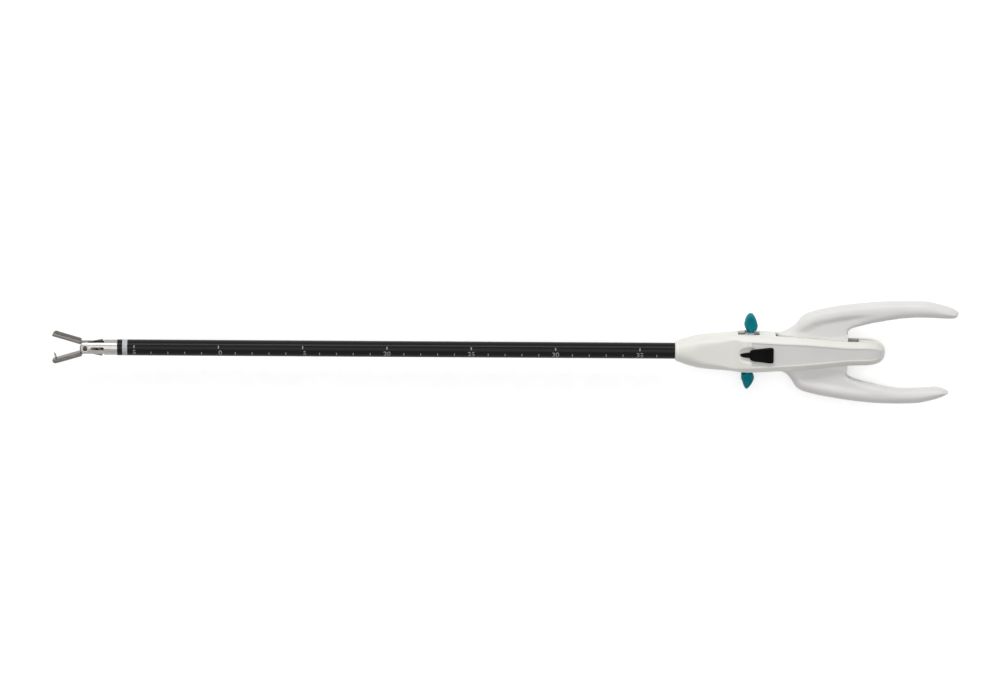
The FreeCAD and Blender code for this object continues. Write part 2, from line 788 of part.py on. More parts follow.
def make_rods():
    front = cam_pin_at - cam_pin_radius - size["yoke_front_wall"]
    neck = cam_pin_at + size["yoke_neck_at"]
    rear = cam_pin_at + size["yoke_length"]
    yoke_radius = size["yoke_diameter"] / 2
    yoke = Piece("rod_yoke")
    yoke.turn([(front, zero), (rear, zero), (rear, yoke_radius), (front, yoke_radius)])
    for side in (1, -1):
        low, high = (tongue_half, yoke_radius) if side > 0 else (-yoke_radius, -tongue_half)
        yoke.cut("XY", low, high, loops=[box_loop(front, neck, -yoke_radius, yoke_radius)])
    yoke.cut("XY", -yoke_radius, yoke_radius, circles=[((cam_pin_at, zero), cam_pin_radius)])
    yoke.cut("YZ", rear - size["yoke_diameter"], rear, circles=[((zero, zero), drive_rod_radius)])
    rod_end = size["crosshead_front"] + size["crosshead_bridge"]
    keep(cylinder("rod", drive_rod_radius, rear - size["yoke_diameter"], rod_end, "x"), "drive_rod")
    for name, side in (("upper", 1), ("lower", -1)):
        end = size["toggle_at"] - size["slider_half_length"]
        offset = size["blade_rod_offset"] * side
        keep(cylinder("rod", blade_rod_radius, size["blade_rod_front"], end, "x", y=offset),
             "blade_rod_" + name)


def make_blade_slider(name, side):
    """A block on the blade rod, with a cross slot for the toggle's drive pin."""
    at = size["toggle_at"]
    half = size["slider_half_length"]
    lean = size["toggle_pin_offset"] * sine(size["toggle_tilt"]) * side
    pin = size["toggle_pin_radius"] + size["fit_clearance"]
    slider = Piece("blade_slider_" + name)
    breadth = size["slider_half_breadth"]
    slider.pad("XY", -breadth, breadth, loops=[box_loop(
        at - half, at + half, size["slider_inner"] * side, size["slider_outer"] * side)])
    slider.cut("XY", -breadth, breadth, loops=[box_loop(
        at + lean - pin, at + lean + pin,
        size["slider_slot_inner"] * side, size["slider_slot_outer"] * side)])


def span(side, low, high):
    """Levels in Z of something that lies between low and high on one side."""
    return (low, high) if side > 0 else (-high, -low)


def half_section(width, depth, bevel, side):
    """Half of the housing's eight-sided section, on one side of the parting plane."""
    return [(-width, zero), (width, zero), (width, (depth - bevel) * side),
            (width - bevel, depth * side), (bevel - width, depth * side),
            (-width, (depth - bevel) * side)]


def make_shell(name, side):
    bevel = size["shell_bevel"]
    wall = size["shell_wall"]
    shell = Piece("housing_" + name)
    shell.loft("AdditiveLoft", [
        (size[s + "_at"], half_section(size[s + "_half_width"], size[s + "_half_depth"], bevel, side))
        for s in STATIONS])
    places = [size["cavity_front"]]
    places += [size[s + "_at"] for s in STATIONS
               if size["cavity_front"].number < size[s + "_at"].number < size["cavity_rear"].number]
    places.append(size["cavity_rear"])
    inner = [(along, half_section(shell_at(along, "half_width") - wall,
                                  shell_at(along, "half_depth") - wall, size["inner_bevel"], side))
             for along in places]
    shell.loft("SubtractiveLoft", inner)
    low, high = span(side, zero, size["arm_window_half"])
    shell.cut("XY", low, high, loops=[box_loop(
        size["arm_window_front"], size["arm_window_rear"],
        size["window_inner"] * flank, size["window_outer"] * flank) for flank in (1, -1)])
    toggle_half = size["toggle_plate_inner"] + size["toggle_plate_thickness"] + size["toggle_slot_gap"]
    low, high = span(side, zero, toggle_half)
    shell.cut("XY", low, high, loops=[box_loop(
        size["toggle_at"] - size["toggle_slot_half"], size["toggle_at"] + size["toggle_slot_half"],
        size["toggle_slot_inner"] * flank, size["window_outer"] * flank) for flank in (1, -1)])
    add_bosses(shell, side)
    shell.cut("YZ", -wall, size["shaft_seat_depth"], circles=[((zero, zero), seat_radius)])
    shell.cut("YZ", -wall, size["cavity_front"] + wall, circles=[((zero, zero), shaft_bore)])
    return shell


def add_bosses(shell, side):
    """Bosses for the toggle's axle and the arm pins, and the posts that join the shells."""
    gap = size["fit_clearance"]
    wall = size["shell_wall"]
    axle_face = size["toggle_plate_inner"] + size["toggle_plate_thickness"] + size["side_gap"]
    roof = shell_at(size["toggle_at"], "half_depth") - wall / 2
    radius = size["toggle_axle_radius"]
    centre = (size["toggle_at"], zero)
    low, high = span(side, axle_face, roof)
    shell.pad("XY", low, high, circles=[(centre, radius + size["toggle_boss_wall"])])
    low, high = span(side, axle_face, axle_face + size["toggle_axle_length"])
    shell.cut("XY", low, high, circles=[(centre, radius + gap)])
    pin = size["arm_pin_radius"]
    roof = shell_at(size["arm_pivot_at"], "half_depth") - wall / 2
    face = size["lever_layer_gap"] + size["lever_thickness"] + size["side_gap"]
    centres = [(size["arm_pivot_at"], size["arm_pivot_offset"] * flank) for flank in (1, -1)]
    low, high = span(side, face, roof)
    shell.pad("XY", low, high, circles=[(centre, pin + size["arm_boss_wall"]) for centre in centres])
    low, high = span(side, face, size["arm_pin_half_length"])
    shell.cut("XY", low, high, circles=[(centre, pin) for centre in centres])
    radius = size["post_radius"]
    for along in (size["post_front_at"], size["post_rear_at"]):
        centres = [(along, size["post_offset"] * flank) for flank in (1, -1)]
        roof = shell_at(along, "half_depth") - wall / 2
        if side > 0:
            shell.pad("XY", -size["post_reach"], roof, circles=[(c, radius) for c in centres])
        else:
            outer = radius + size["post_wall"]
            shell.pad("XY", -roof, zero, circles=[(c, outer) for c in centres])
            shell.cut("XY", -size["post_reach"], zero, circles=[(c, radius) for c in centres])


def finish_front_shell(shell):
    """The recessed panel, the button's slot and scoop and the button spring's seat."""
    wall = size["shell_wall"]
    deep = size["panel_depth"]
    bevel = size["shell_bevel"]
    places = [size["panel_front"]]
    places += [size[s + "_at"] for s in STATIONS
               if size["panel_front"].number < size[s + "_at"].number < size["round_at"].number]
    sections = []
    for along in places:
        half = shell_at(along, "half_width") - bevel - size["panel_margin"]
        top = shell_at(along, "half_depth")
        sections.append((along, box_loop(-half, half, top - deep, top + deep)))
    shell.loft("SubtractiveLoft", sections)
    stem_front = size["button_stem_front"]
    stem_rear = stem_front + size["button_stem_length"]
    gap = size["button_slot_gap"]
    top = size["body_half_depth"]
    half = size["button_stem_half"] + gap
    shell.cut("XY", top - wall * 2, top + wall, loops=[box_loop(
        stem_front - gap, stem_rear + size["button_travel"] + gap, -half, half)])
    seat = size["button_spring_seat"]
    shell.pad("XY", size["button_stem_low"] - size["button_seat_drop"], top - wall / 2, loops=[box_loop(
        seat, seat + size["button_seat_thickness"], -size["button_stem_half"],
        size["button_stem_half"])])
    scoop = size["scoop_depth"]
    scoop_at = size["scoop_at"]
    half = size["scoop_half_width"]
    shell.cut("XY", top - scoop, top + wall, loops=[[
        (scoop_at - size["scoop_radius"], zero), (scoop_at, -half, "via"),
        (size["panel_front"] + scoop, zero), (scoop_at, half, "via")]])


def make_toggle_plate(name, side):
    """One of the two plates that carry the wings, with its stub axle, about its own axis."""
    inner = size["toggle_plate_inner"]
    outer = inner + size["toggle_plate_thickness"]
    low, high = span(side, inner, outer)
    half = size["toggle_plate_half_width"]
    reach = size["wing_root"]
    neck = size["wing_neck_half"]
    shoulder = size["toggle_plate_shoulder"]
    plate = Piece("toggle_plate_" + name)
    plate.pad("XY", low, high, loops=[[
        (-neck, -reach), (neck, -reach), (half, -shoulder), (half, shoulder),
        (neck, reach), (-neck, reach), (-half, shoulder), (-half, -shoulder)]])
    low, high = span(side, outer, outer + size["toggle_axle_length"])
    plate.pad("XY", low, high, circles=[((zero, zero), size["toggle_axle_radius"])])
    low, high = span(side, inner, outer)
    offset = size["toggle_pin_offset"]
    plate.cut("XY", low, high, circles=[((zero, offset), size["toggle_pin_radius"]),
                                        ((zero, -offset), size["toggle_pin_radius"])])
    place(plate.body, x=size["toggle_at"], turn=-size["toggle_tilt"])


def make_toggle_wing(name, side):
    """A moulded finger wing across both plates, with a leaf-shaped outline."""
    half_depth = size["toggle_plate_inner"] + size["toggle_plate_thickness"]
    neck = size["wing_neck_half"]
    belly = size["wing_belly_half"]
    tip = size["wing_tip_round"]
    wing = Piece("toggle_wing_" + name)
    wing.pad("XY", -half_depth, half_depth, loops=[[
        (-neck, size["wing_root"] * side), (neck, size["wing_root"] * side),
        (belly, size["wing_belly_at"] * side), (tip, size["wing_tip_at"] * side),
        (zero, (size["wing_tip_at"] + tip) * side, "via"),
        (-tip, size["wing_tip_at"] * side), (-belly, size["wing_belly_at"] * side)]])
    place(wing.body, x=size["toggle_at"], turn=-size["toggle_tilt"])


def make_toggle_pins():
    reach = size["toggle_plate_inner"] + size["toggle_plate_thickness"]
    pins = []
    for side in (1, -1):
        pin = cylinder("drive_pin", size["toggle_pin_radius"], -reach, reach)
        offset = size["toggle_pin_offset"] * side
        place(pin, x=size["toggle_at"] + offset * sine(size["toggle_tilt"]),
              y=offset * cosine(size["toggle_tilt"]), z=-reach)
        pins.append(pin)
    group("toggle_drive_pins", pins)


def lever_slot_point(share, side):
    """Place of the crosshead's pin in the lever's frame, with the handle squeezed by a share."""
    angle = size["arm_swing"] * share
    along = size["crosshead_pin_at"] + size["cam_travel"] * share - size["arm_pivot_at"]
    out = size["crosshead_pin_offset"] - size["arm_pivot_offset"]
    turned_along = along * cosine(angle) - out * sine(angle)
    turned_out = along * sine(angle) + out * cosine(angle)
    return size["arm_pivot_at"] + turned_along, (size["arm_pivot_offset"] + turned_out) * side


def grip_point(name, point, side):
    return size[f"{name}_{point}_along"], size[f"{name}_{point}_out"] * side


def core_outline(name, side):
    """Outline of the lever's web, which the moulded handle encloses."""
    front = size["arm_pivot_at"] - size["arm_hub_radius"]
    rear = size["lever_rear"] - size["core_margin"]
    low = size["web_low"] * side
    foot = grip_point(name, "core_foot", side)
    end_low = grip_point(name, "core_end_low", side)
    return [(front, low), (rear, low), (rear, foot[1]), end_low,
            grip_point(name, "core_end_top", side), grip_point(name, "core_top", side), foot]


def make_lever(name, side):
    """The hinged plate of one handle: hub and cam slot inside the housing, web outside."""
    low, high = span(side, size["lever_layer_gap"], size["lever_layer_gap"] + size["lever_thickness"])
    pivot = (size["arm_pivot_at"], size["arm_pivot_offset"] * side)
    hub = size["arm_hub_radius"]
    rear = size["lever_rear"]
    toe = size["lever_toe_front"]
    foot = size["lever_toe_low"] * side
    web_low = size["web_low"] * side
    inside = web_low + size["lever_web_overlap"] * side
    neck = size["lever_neck"]
    bevel = size["lever_toe_bevel"]
    heel = size["lever_heel_bevel"]
    lever = Piece("handle_lever_" + name)
    lever.pad("XY", low, high, circles=[(pivot, hub)])
    lever.pad("XY", low, high, loops=[[
        (pivot[0] - hub, pivot[1]), (pivot[0] + neck, pivot[1] - neck * side),
        (toe - hub, pivot[1] - size["lever_waist_drop"] * side), (toe, foot + bevel * side),
        (toe + bevel, foot), (rear - heel, foot), (rear, foot + heel * side),
        (rear, web_low), (rear - size["core_margin"], web_low), (rear - size["core_margin"], inside),
        (pivot[0] - hub / 2, inside), (pivot[0] - hub, web_low)]])
    half = size["web_half"]
    lever.pad("XY", -half, half, loops=[core_outline(name, side)])
    lever.cut("XY", low, high, circles=[(pivot, size["arm_pin_radius"] + size["fit_clearance"])])
    lever.cut("XY", low, high, slots=[(
        lever_slot_point(0, side), lever_slot_point(0.5, side), lever_slot_point(1, side),
        size["crosshead_pin_radius"] + size["fit_clearance"])])
    reach = size["arm_pin_half_length"]
    keep(cylinder("pin", size["arm_pin_radius"], -reach, reach, x=pivot[0], y=pivot[1]),
         "arm_pivot_pin_" + name)


def make_grip(name, side):
    """The moulded handle: a slab at its root, and the finger grip behind it."""
    half = size["grip_half"]
    web = size["web_half"]
    low = size["web_low"] * side

    def at(point, *via):
        return grip_point(name, point, side) + via

    grip = Piece("handle_grip_" + name)
    grip.pad("XY", -half, half, loops=[[
        (at("shoulder")[0], low), at("shoulder"), at("brow"), at("horn_foot"), at("horn_mid", "via"),
        at("horn_top"), at("back", "via"), at("crest"), at("crest_end"), at("tip_bend", "via"),
        at("tip_top"), at("tip", "via"), at("tip_low"), at("palm_end"), at("palm", "via"),
        at("palm_root"), at("crotch_end"), at("crotch"), (size["lever_rear"], low)]])
    grip.cut("XY", -web, web, loops=[core_outline(name, side)])


def make_crosshead():
    front = size["crosshead_front"]
    rear = size["crosshead_rear"]
    inner = size["cheek_inner"]
    outer = inner + size["cheek_thickness"]
    tall = size["cheek_half_height"]
    bridge = front + size["crosshead_bridge"]
    slim = size["crosshead_bridge_half"]
    flare = bridge + size["crosshead_bridge"]
    crosshead = Piece("crosshead")
    crosshead.pad("XY", -outer, outer, loops=[[
        (front, -slim), (bridge, -slim), (flare, -tall), (rear, -tall), (rear, tall), (flare, tall),
        (bridge, slim), (front, slim)]])
    crosshead.cut("XY", -inner, inner, loops=[box_loop(
        bridge, rear - size["crosshead_rear_bridge"], -tall, tall)])
    crosshead.pad("YZ", rear - size["crosshead_rear_bridge"] / 2, rear + size["spring_stem_length"],
                  circles=[((zero, zero), size["spring_stem_radius"])])
    crosshead.cut("YZ", front, bridge, circles=[((zero, zero), drive_rod_radius)])
    radius = size["crosshead_pin_radius"]
    for name, side in (("upper", 1), ("lower", -1)):
        centre = (size["crosshead_pin_at"], size["crosshead_pin_offset"] * side)
        low, high = span(side, inner, outer)
        crosshead.cut("XY", low, high, circles=[(centre, radius)])
        low, high = span(side, size["crosshead_pin_tip"], outer)
        keep(cylinder("pin", radius, low, high, x=centre[0], y=centre[1]), "crosshead_pin_" + name)


def make_spring(label, front, rear, radius, wire, pitch, level=zero):
    """A coil spring along X between two faces, with its axis at a level in Z."""
    spring = doc.addObject("PartDesign::Body", label)
    keep(spring, label)
    sketch = spring.newObject("Sketcher::SketchObject", "Wire")
    origin = spring.Origin.OriginFeatures
    sketch.AttachmentSupport = [(next(f for f in origin if f.Role == "XY_Plane"), "")]
    sketch.MapMode = "FlatFace"
    draw_circle(sketch, (front + wire / 2, radius), wire / 2)
    doc.recompute()
    coil = spring.newObject("PartDesign::AdditiveHelix", "Coil")
    coil.Profile = sketch
    coil.ReferenceAxis = (sketch, ["H_Axis"])
    coil.Mode = "pitch-height-angle"
    bind(coil, Pitch=pitch, Height=rear - front - wire)
    place(spring, z=level)
    doc.recompute()


def make_button():
    top = size["body_half_depth"] - size["panel_depth"] + size["button_lift"]
    front, rear = size["button_front"], size["button_rear"]
    half = size["button_half_width"]
    bend = size["button_corner"]
    button = Piece("load_button")
    middle = bend * corner_middle
    button.pad("XY", top, top + size["button_height"], loops=[[
        (front, -half + bend), (front + middle, -half + middle, "via"), (front + bend, -half),
        (rear - bend, -half), (rear - middle, -half + middle, "via"), (rear, -half + bend),
        (rear, half - bend), (rear - middle, half - middle, "via"), (rear - bend, half),
        (front + bend, half), (front + middle, half - middle, "via"), (front, half - bend)]])
    tongue = size["button_tongue_half"]
    button.pad("XY", top, top + size["button_tongue_thickness"],
               loops=[[(size["button_tongue_front"] + tongue, -tongue), (front + bend, -tongue),
                       (front + bend, tongue), (size["button_tongue_front"] + tongue, tongue),
                       (size["button_tongue_front"], zero, "via")]])
    stem_front = size["button_stem_front"]
    stem_rear = stem_front + size["button_stem_length"]
    stem_half = size["button_stem_half"]
    low = size["button_stem_low"]
    button.pad("XY", low, top, loops=[box_loop(stem_front, stem_rear, -stem_half, stem_half)])
    catch = Piece("button_catch")
    catch.pad("XY", low - size["catch_thickness"], low, loops=[box_loop(
        stem_front, stem_front + size["catch_length"], -size["catch_half_width"],
        size["catch_half_width"])])
    make_spring("button_spring", stem_rear, size["button_spring_seat"], size["button_spring_radius"],
                size["button_spring_wire"], size["button_spring_pitch"],
                low + size["button_spring_radius"] + size["button_spring_wire"] / 2)


make_shaft()
make_rod_guides()
make_clevis()
for name, side in (("upper", 1), ("lower", -1)):
    make_jaw(name, side)
    make_blade(name, side)
    make_blade_slider(name, side)
make_needle()
make_rods()
front_shell = make_shell("front", 1)
finish_front_shell(front_shell)
make_shell("back", -1)
for name, side in (("front", 1), ("back", -1)):
    make_toggle_plate(name, side)
make_toggle_pins()
for name, side in (("upper", 1), ("lower", -1)):
    make_toggle_wing(name, side)
    make_lever(name, side)
    make_grip(name, side)
make_crosshead()
make_spring("return_spring", size["crosshead_rear"], size["cavity_rear"], size["spring_radius"],
            size["spring_wire"], size["spring_pitch"])
make_button()

doc.recompute()
for thing in doc.Objects:
    if "Invalid" in thing.State or "Error" in thing.State:
        raise ValueError(f"{thing.Label} could not be made: {thing.State}")
for node in nodes:
    if node.Shape.isNull() or not node.Shape.isValid() or not node.Shape.Solids:
        raise ValueError(f"{node.Label} has no sound solid")

os.makedirs("parts", exist_ok=True)
for node in nodes:
    node.Shape.exportStep(f"parts/{node.Label}.step")
    box = node.Shape.BoundBox
    print(f"{node.Label}: {len(node.Shape.Solids)} solid, {node.Shape.Volume:.1f} mm3, "
          f"x {box.XMin:.1f} to {box.XMax:.1f}, y {box.YMin:.1f} to {box.YMax:.1f}, "
          f"z {box.ZMin:.1f} to {box.ZMax:.1f}")
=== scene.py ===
# %% [markdown]
# # Endoscopic suturing device
# A surgeon's hand instrument for keyhole operations: a long black shaft with two small
# steel jaws at its tip, and a cream handle that is squeezed to close them. This script
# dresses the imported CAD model. The mechanism keeps its own solids and gets real finishes,
# and the moulded shells, handles, wings and button are modelled again as smooth meshes.

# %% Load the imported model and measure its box
import math

import bmesh
import bpy
from mathutils import Matrix, Vector


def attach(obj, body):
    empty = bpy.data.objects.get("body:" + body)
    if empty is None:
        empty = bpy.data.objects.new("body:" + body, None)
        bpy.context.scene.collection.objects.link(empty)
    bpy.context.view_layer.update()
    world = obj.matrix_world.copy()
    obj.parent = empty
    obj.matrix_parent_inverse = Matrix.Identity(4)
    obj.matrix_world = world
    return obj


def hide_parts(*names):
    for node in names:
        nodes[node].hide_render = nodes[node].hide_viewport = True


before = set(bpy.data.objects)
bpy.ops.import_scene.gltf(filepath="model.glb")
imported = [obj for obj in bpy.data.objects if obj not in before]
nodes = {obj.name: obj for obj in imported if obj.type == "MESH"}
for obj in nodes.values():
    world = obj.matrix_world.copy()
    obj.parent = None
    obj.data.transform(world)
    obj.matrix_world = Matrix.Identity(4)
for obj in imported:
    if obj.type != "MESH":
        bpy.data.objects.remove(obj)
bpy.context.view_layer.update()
MM = 0.001


def add_object(name, data):
    """A new object in the scene that shows a mesh, a curve, a lamp or a camera."""
    made = bpy.data.objects.new(name, data)
    bpy.context.scene.collection.objects.link(made)
    return made


# %% [markdown]
# ## The view
# The picture looks down on the instrument as it lies on a white table, with the camera
# tipped 12 degrees towards the upper handle, so that a little of the upper side shows.
# A long lens from 3.2 m keeps the 538 mm object almost free of perspective.

# %% Camera
CAMERA_DISTANCE = 3200 * MM
CAMERA_ROLL = math.radians(12)
IN_PLANE_TURN = math.radians(0.354)
LOOK_AT = Vector((-103.9 * MM, -0.2 * MM, 0))
LENS = 194
SENSOR = 36

camera_data = bpy.data.cameras.new("camera")
camera_data.lens = LENS
camera_data.sensor_width = SENSOR
camera_data.clip_start = 0.05
camera_data.clip_end = 20
camera = add_object("camera", camera_data)
back = Vector((0, math.sin(CAMERA_ROLL), math.cos(CAMERA_ROLL)))
level = Vector((math.cos(IN_PLANE_TURN), 0, 0))
side = level + back.cross(Vector((1, 0, 0))) * math.sin(IN_PLANE_TURN)
up = back.cross(side)
turned = Matrix((side, up, back)).transposed().to_4x4()
camera.matrix_world = Matrix.Translation(LOOK_AT + back * CAMERA_DISTANCE) @ turned
bpy.context.scene.camera = camera
bpy.context.scene.view_settings.view_transform = "Standard"
print("camera at", [round(v, 3) for v in camera.location])

# %% [markdown]
# ## Colours and nodes
# Colours are written as the sRGB hex values a picture editor shows. Shaders work with
# linear light, so one function turns them. A second one adds a shader node and fills or
# links its sockets in the same line, which keeps each material readable from top to bottom.

# %% Colour and node helpers
def linear(hex_colour):
    """An sRGB hex colour as linear red, green, blue and alpha."""
    values = [int(hex_colour[i:i + 2], 16) / 255 for i in (1, 3, 5)]
    turned = [v / 12.92 if v <= 0.04045 else ((v + 0.055) / 1.055) ** 2.4 for v in values]
    return (*turned, 1.0)


def add_node(tree, kind, sockets=None, **settings):
    """Add a shader node. A socket takes a value, or another node's output as a link."""
    node = tree.nodes.new("ShaderNode" + kind)
    for name, value in settings.items():
        setattr(node, name, value)
    for name, value in (sockets or {}).items():
        if isinstance(value, bpy.types.NodeSocket):
            tree.links.new(value, node.inputs[name])
        else:
            node.inputs[name].default_value = value
    return node


def start_material(name):
    """A new material with an empty node tree."""
    material = bpy.data.materials.new(name)
    material.use_nodes = True
    material.node_tree.nodes.clear()
    return material, material.node_tree


def set_ramp(node, stops):
    """Give a colour ramp its stops: a list of (place, hex colour)."""
    ramp = node.color_ramp
    while len(ramp.elements) < len(stops):
        ramp.elements.new(0.5)
    for element, (place, hex_colour) in zip(ramp.elements, stops):
        element.position = place
        element.color = linear(hex_colour)


print("cream as linear light:", [round(v, 3) for v in linear("#EDECE5")])

# %% [markdown]
# ## Table and light
# The table is plain white paper. It is drawn pure white for the camera and for
# reflections by a little light of its own, and only a soft shadow of the object darkens
# it. Light Path keeps that light to the rays that look at the table, so it doesn't
# brighten the object.

# %% Table
TABLE_LEVEL = -12.4 * MM
TABLE_HALF = 3.0
TABLE_LIFT = 0.5
PAPER_FLECK = MM / 0.7


def seen_directly(tree):
    """1 for camera, glossy and transmission rays, and 0 for the light on the object."""
    rays = add_node(tree, "LightPath").outputs
    seen = add_node(tree, "Math", {0: rays["Is Camera Ray"], 1: rays["Is Glossy Ray"]},
                    operation="MAXIMUM")
    seen = add_node(tree, "Math", {0: seen.outputs[0], 1: rays["Is Transmission Ray"]},
                    operation="MAXIMUM")
    return seen.outputs[0]


table_mesh = bpy.data.meshes.new("table")
builder = bmesh.new()
corners = [builder.verts.new((x * TABLE_HALF, y * TABLE_HALF, TABLE_LEVEL)) for x, y in
           ((-1, -1), (1, -1), (1, 1), (-1, 1))]
builder.faces.new(corners)
builder.to_mesh(table_mesh)
builder.free()
table = add_object("table", table_mesh)

paper, tree = start_material("white_paper")
grain = add_node(tree, "TexNoise", {"Scale": 1 / PAPER_FLECK, "Detail": 3.0})
tint = add_node(tree, "ValToRGB", {"Fac": grain.outputs["Fac"]})
set_ramp(tint, [(0.3, "#F4F4F4"), (0.7, "#FAFAFA")])
lit = add_node(tree, "BsdfDiffuse", {"Color": tint.outputs["Color"]})
lift = add_node(tree, "Math", {0: seen_directly(tree), 1: TABLE_LIFT}, operation="MULTIPLY")
glow = add_node(tree, "Emission", {"Color": (1, 1, 1, 1), "Strength": lift.outputs[0]})
both = add_node(tree, "AddShader", {0: lit.outputs[0], 1: glow.outputs[0]})
add_node(tree, "OutputMaterial", {"Surface": both.outputs[0]})
table.data.materials.append(paper)
print("table at z =", TABLE_LEVEL / MM, "mm")

# %% [markdown]
# Softboxes are large area lamps. The key one stands low beyond the upper handle and a
# little towards the jaws, which makes the upper bevels bright and the lower ones darker,
# as in the picture. A wide one above fills the rest. The sky is white where it is seen or
# mirrored, and much dimmer as a light on the object.

# %% Lamps and the sky
SKY_LIGHT = 0.3
MIDDLE = (-0.12, 0, 0)


def softbox(name, place, target, width, height, watts):
    """A large area lamp that looks at a point, with its sides in metres."""
    data = bpy.data.lights.new(name, "AREA")
    data.shape = "RECTANGLE"
    data.size = width
    data.size_y = height
    data.energy = watts
    lamp = add_object(name, data)
    lamp.location = place
    lamp.rotation_euler = (Vector(target) - Vector(place)).to_track_quat("-Z", "Y").to_euler()


softbox("key_softbox", (-0.35, 1.5, 0.8), MIDDLE, width=2.4, height=0.4, watts=17.0)
softbox("top_softbox", (-0.1, 0.5, 3.6), MIDDLE, width=3.4, height=2.6, watts=40.0)

world = bpy.data.worlds.new("studio")
bpy.context.scene.world = world
world.use_nodes = True
tree = world.node_tree
tree.nodes.clear()
sky = add_node(tree, "Background", {"Color": (1, 1, 1, 1), "Strength": SKY_LIGHT})
clear = add_node(tree, "Background", {"Color": (1, 1, 1, 1), "Strength": 1.0})
either = add_node(tree, "MixShader", {0: seen_directly(tree), 1: sky.outputs[0],
                                      2: clear.outputs[0]})
add_node(tree, "OutputWorld", {"Surface": either.outputs[0]})

# %% [markdown]
# ## Moulded ABS
# The handle shells are injection-moulded ABS, a hard cream plastic with a satin skin that
# comes from the spark-eroded steel mould: a grain of about 0.5 mm that only shows as a
# soft, slightly uneven gloss. Each colour of ABS here is the same recipe with its own hex
# values, so one function builds it. Convex edges are drawn a little paler, found by the
# pointiness of the mesh. The matt dark colours mirror less of the white room, so their
# shine is lower.

# %% ABS plastics
ABS_IOR = 1.54
MOULD_GRAIN = 0.5 * MM
GRAIN_DEPTH = 0.018 * MM
COLOUR_CLOUD = 22 * MM


def moulded_plastic(name, base, pale_edge_colour, roughness, shine=0.5):
    """An injection-moulded plastic: cloudy colour, satin grain and paler convex edges."""
    material, tree = start_material(name)
    place = add_node(tree, "TexCoord").outputs["Object"]
    cloud = add_node(tree, "TexNoise", {"Vector": place, "Scale": 1 / COLOUR_CLOUD, "Detail": 2.0})
    body = add_node(tree, "ValToRGB", {"Fac": cloud.outputs["Fac"]})
    set_ramp(body, [(0.35, base[0]), (0.65, base[1])])
    edge = add_node(tree, "NewGeometry").outputs["Pointiness"]
    paler_edges = add_node(tree, "MapRange", {"Value": edge, "From Min": 0.52, "From Max": 0.62})
    colour = add_node(tree, "Mix", {"Factor": paler_edges.outputs[0], 6: body.outputs["Color"],
                                    7: linear(pale_edge_colour)}, data_type="RGBA")
    grain = add_node(tree, "TexNoise", {"Vector": place, "Scale": 1 / MOULD_GRAIN, "Detail": 4.0})
    gloss = add_node(tree, "MapRange", {"Value": grain.outputs["Fac"], "To Min": roughness - 0.05,
                                        "To Max": roughness + 0.06})
    soft = add_node(tree, "Bump", {"Height": grain.outputs["Fac"], "Distance": GRAIN_DEPTH,
                                   "Strength": 0.5})
    skin = add_node(tree, "BsdfPrincipled", {"Base Color": colour.outputs[2],
                                             "Roughness": gloss.outputs[0],
                                             "Normal": soft.outputs[0], "IOR": ABS_IOR,
                                             "Specular IOR Level": shine})
    add_node(tree, "OutputMaterial", {"Surface": skin.outputs[0]})
    return material


abs_cream = moulded_plastic("abs_cream_satin", ("#EBEAE2", "#EFEEE8"), "#F4F3EE", 0.38)
# The panel floor is the same cream ABS, drawn greyer and darker: painted shade of the recessed
# face.
abs_panel_shaded = moulded_plastic("abs_panel_matt_painted_shade", ("#DEDCDA", "#E2E0DE"), "#E8E6E4", 0.5)
# The handles are the same cream ABS, drawn greyer and a little darker: painted shade, as their webs
# lie in less light.
abs_arm_shaded = moulded_plastic("abs_arm_satin_painted_shade", ("#E5E3E1", "#E9E7E5"), "#F0EEEC", 0.4)
abs_teal = moulded_plastic("abs_teal_satin", ("#007582", "#00818E"), "#14929E", 0.36, 0.08)
abs_black = moulded_plastic("abs_black_satin", ("#070708", "#0A0A0B"), "#171718", 0.42, 0.04)
print("ABS grain", MOULD_GRAIN / MM, "mm, IOR", ABS_IOR)

# %% [markdown]
# ## The shaft's black tube
# The shaft is a glass-fibre epoxy tube, pultruded and ground, then lacquered gloss black.
# Pultrusion leaves very faint streaks along the tube, stretched noise here, 0.4 mm wide.
# The gloss gives the long pale line along the upper third in the picture.

# %% Black lacquered tube
STREAK_WIDTH = 0.4 * MM
STREAK_LENGTH = 30 * MM
STREAK_DEPTH = 0.01 * MM


def along_shaft(tree, width, length):
    """Noise stretched along X: streaks of a width and a length in metres."""
    place = add_node(tree, "TexCoord").outputs["Object"]
    stretched = add_node(tree, "Mapping", {"Vector": place,
                                           "Scale": (1 / length, 1 / width, 1 / width)})
    return add_node(tree, "TexNoise", {"Vector": stretched.outputs[0], "Scale": 1.0, "Detail": 3.0})


def lacquer(name, dark, light, roughness):
    """A clear gloss lacquer over a streaky colour."""
    material, tree = start_material(name)
    streaks = along_shaft(tree, STREAK_WIDTH, STREAK_LENGTH)
    colour = add_node(tree, "ValToRGB", {"Fac": streaks.outputs["Fac"]})
    set_ramp(colour, [(0.35, dark), (0.65, light)])
    gloss = add_node(tree, "MapRange", {"Value": streaks.outputs["Fac"], "To Min": roughness - 0.03,
                                        "To Max": roughness + 0.05})
    soft = add_node(tree, "Bump", {"Height": streaks.outputs["Fac"], "Distance": STREAK_DEPTH,
                                   "Strength": 0.3})
    skin = add_node(tree, "BsdfPrincipled", {"Base Color": colour.outputs["Color"],
                                             "Roughness": gloss.outputs[0],
                                             "Normal": soft.outputs[0], "IOR": 1.5,
                                             "Specular IOR Level": 0.15})
    add_node(tree, "OutputMaterial", {"Surface": skin.outputs[0]})
    return material


epoxy_black = lacquer("epoxy_tube_black", "#070708", "#0C0C0D", 0.22)
lacquer_grey = lacquer("lacquer_ring_grey", "#B9BBBE", "#C8CACC", 0.3)
print("tube streaks", STREAK_WIDTH / MM, "mm wide")

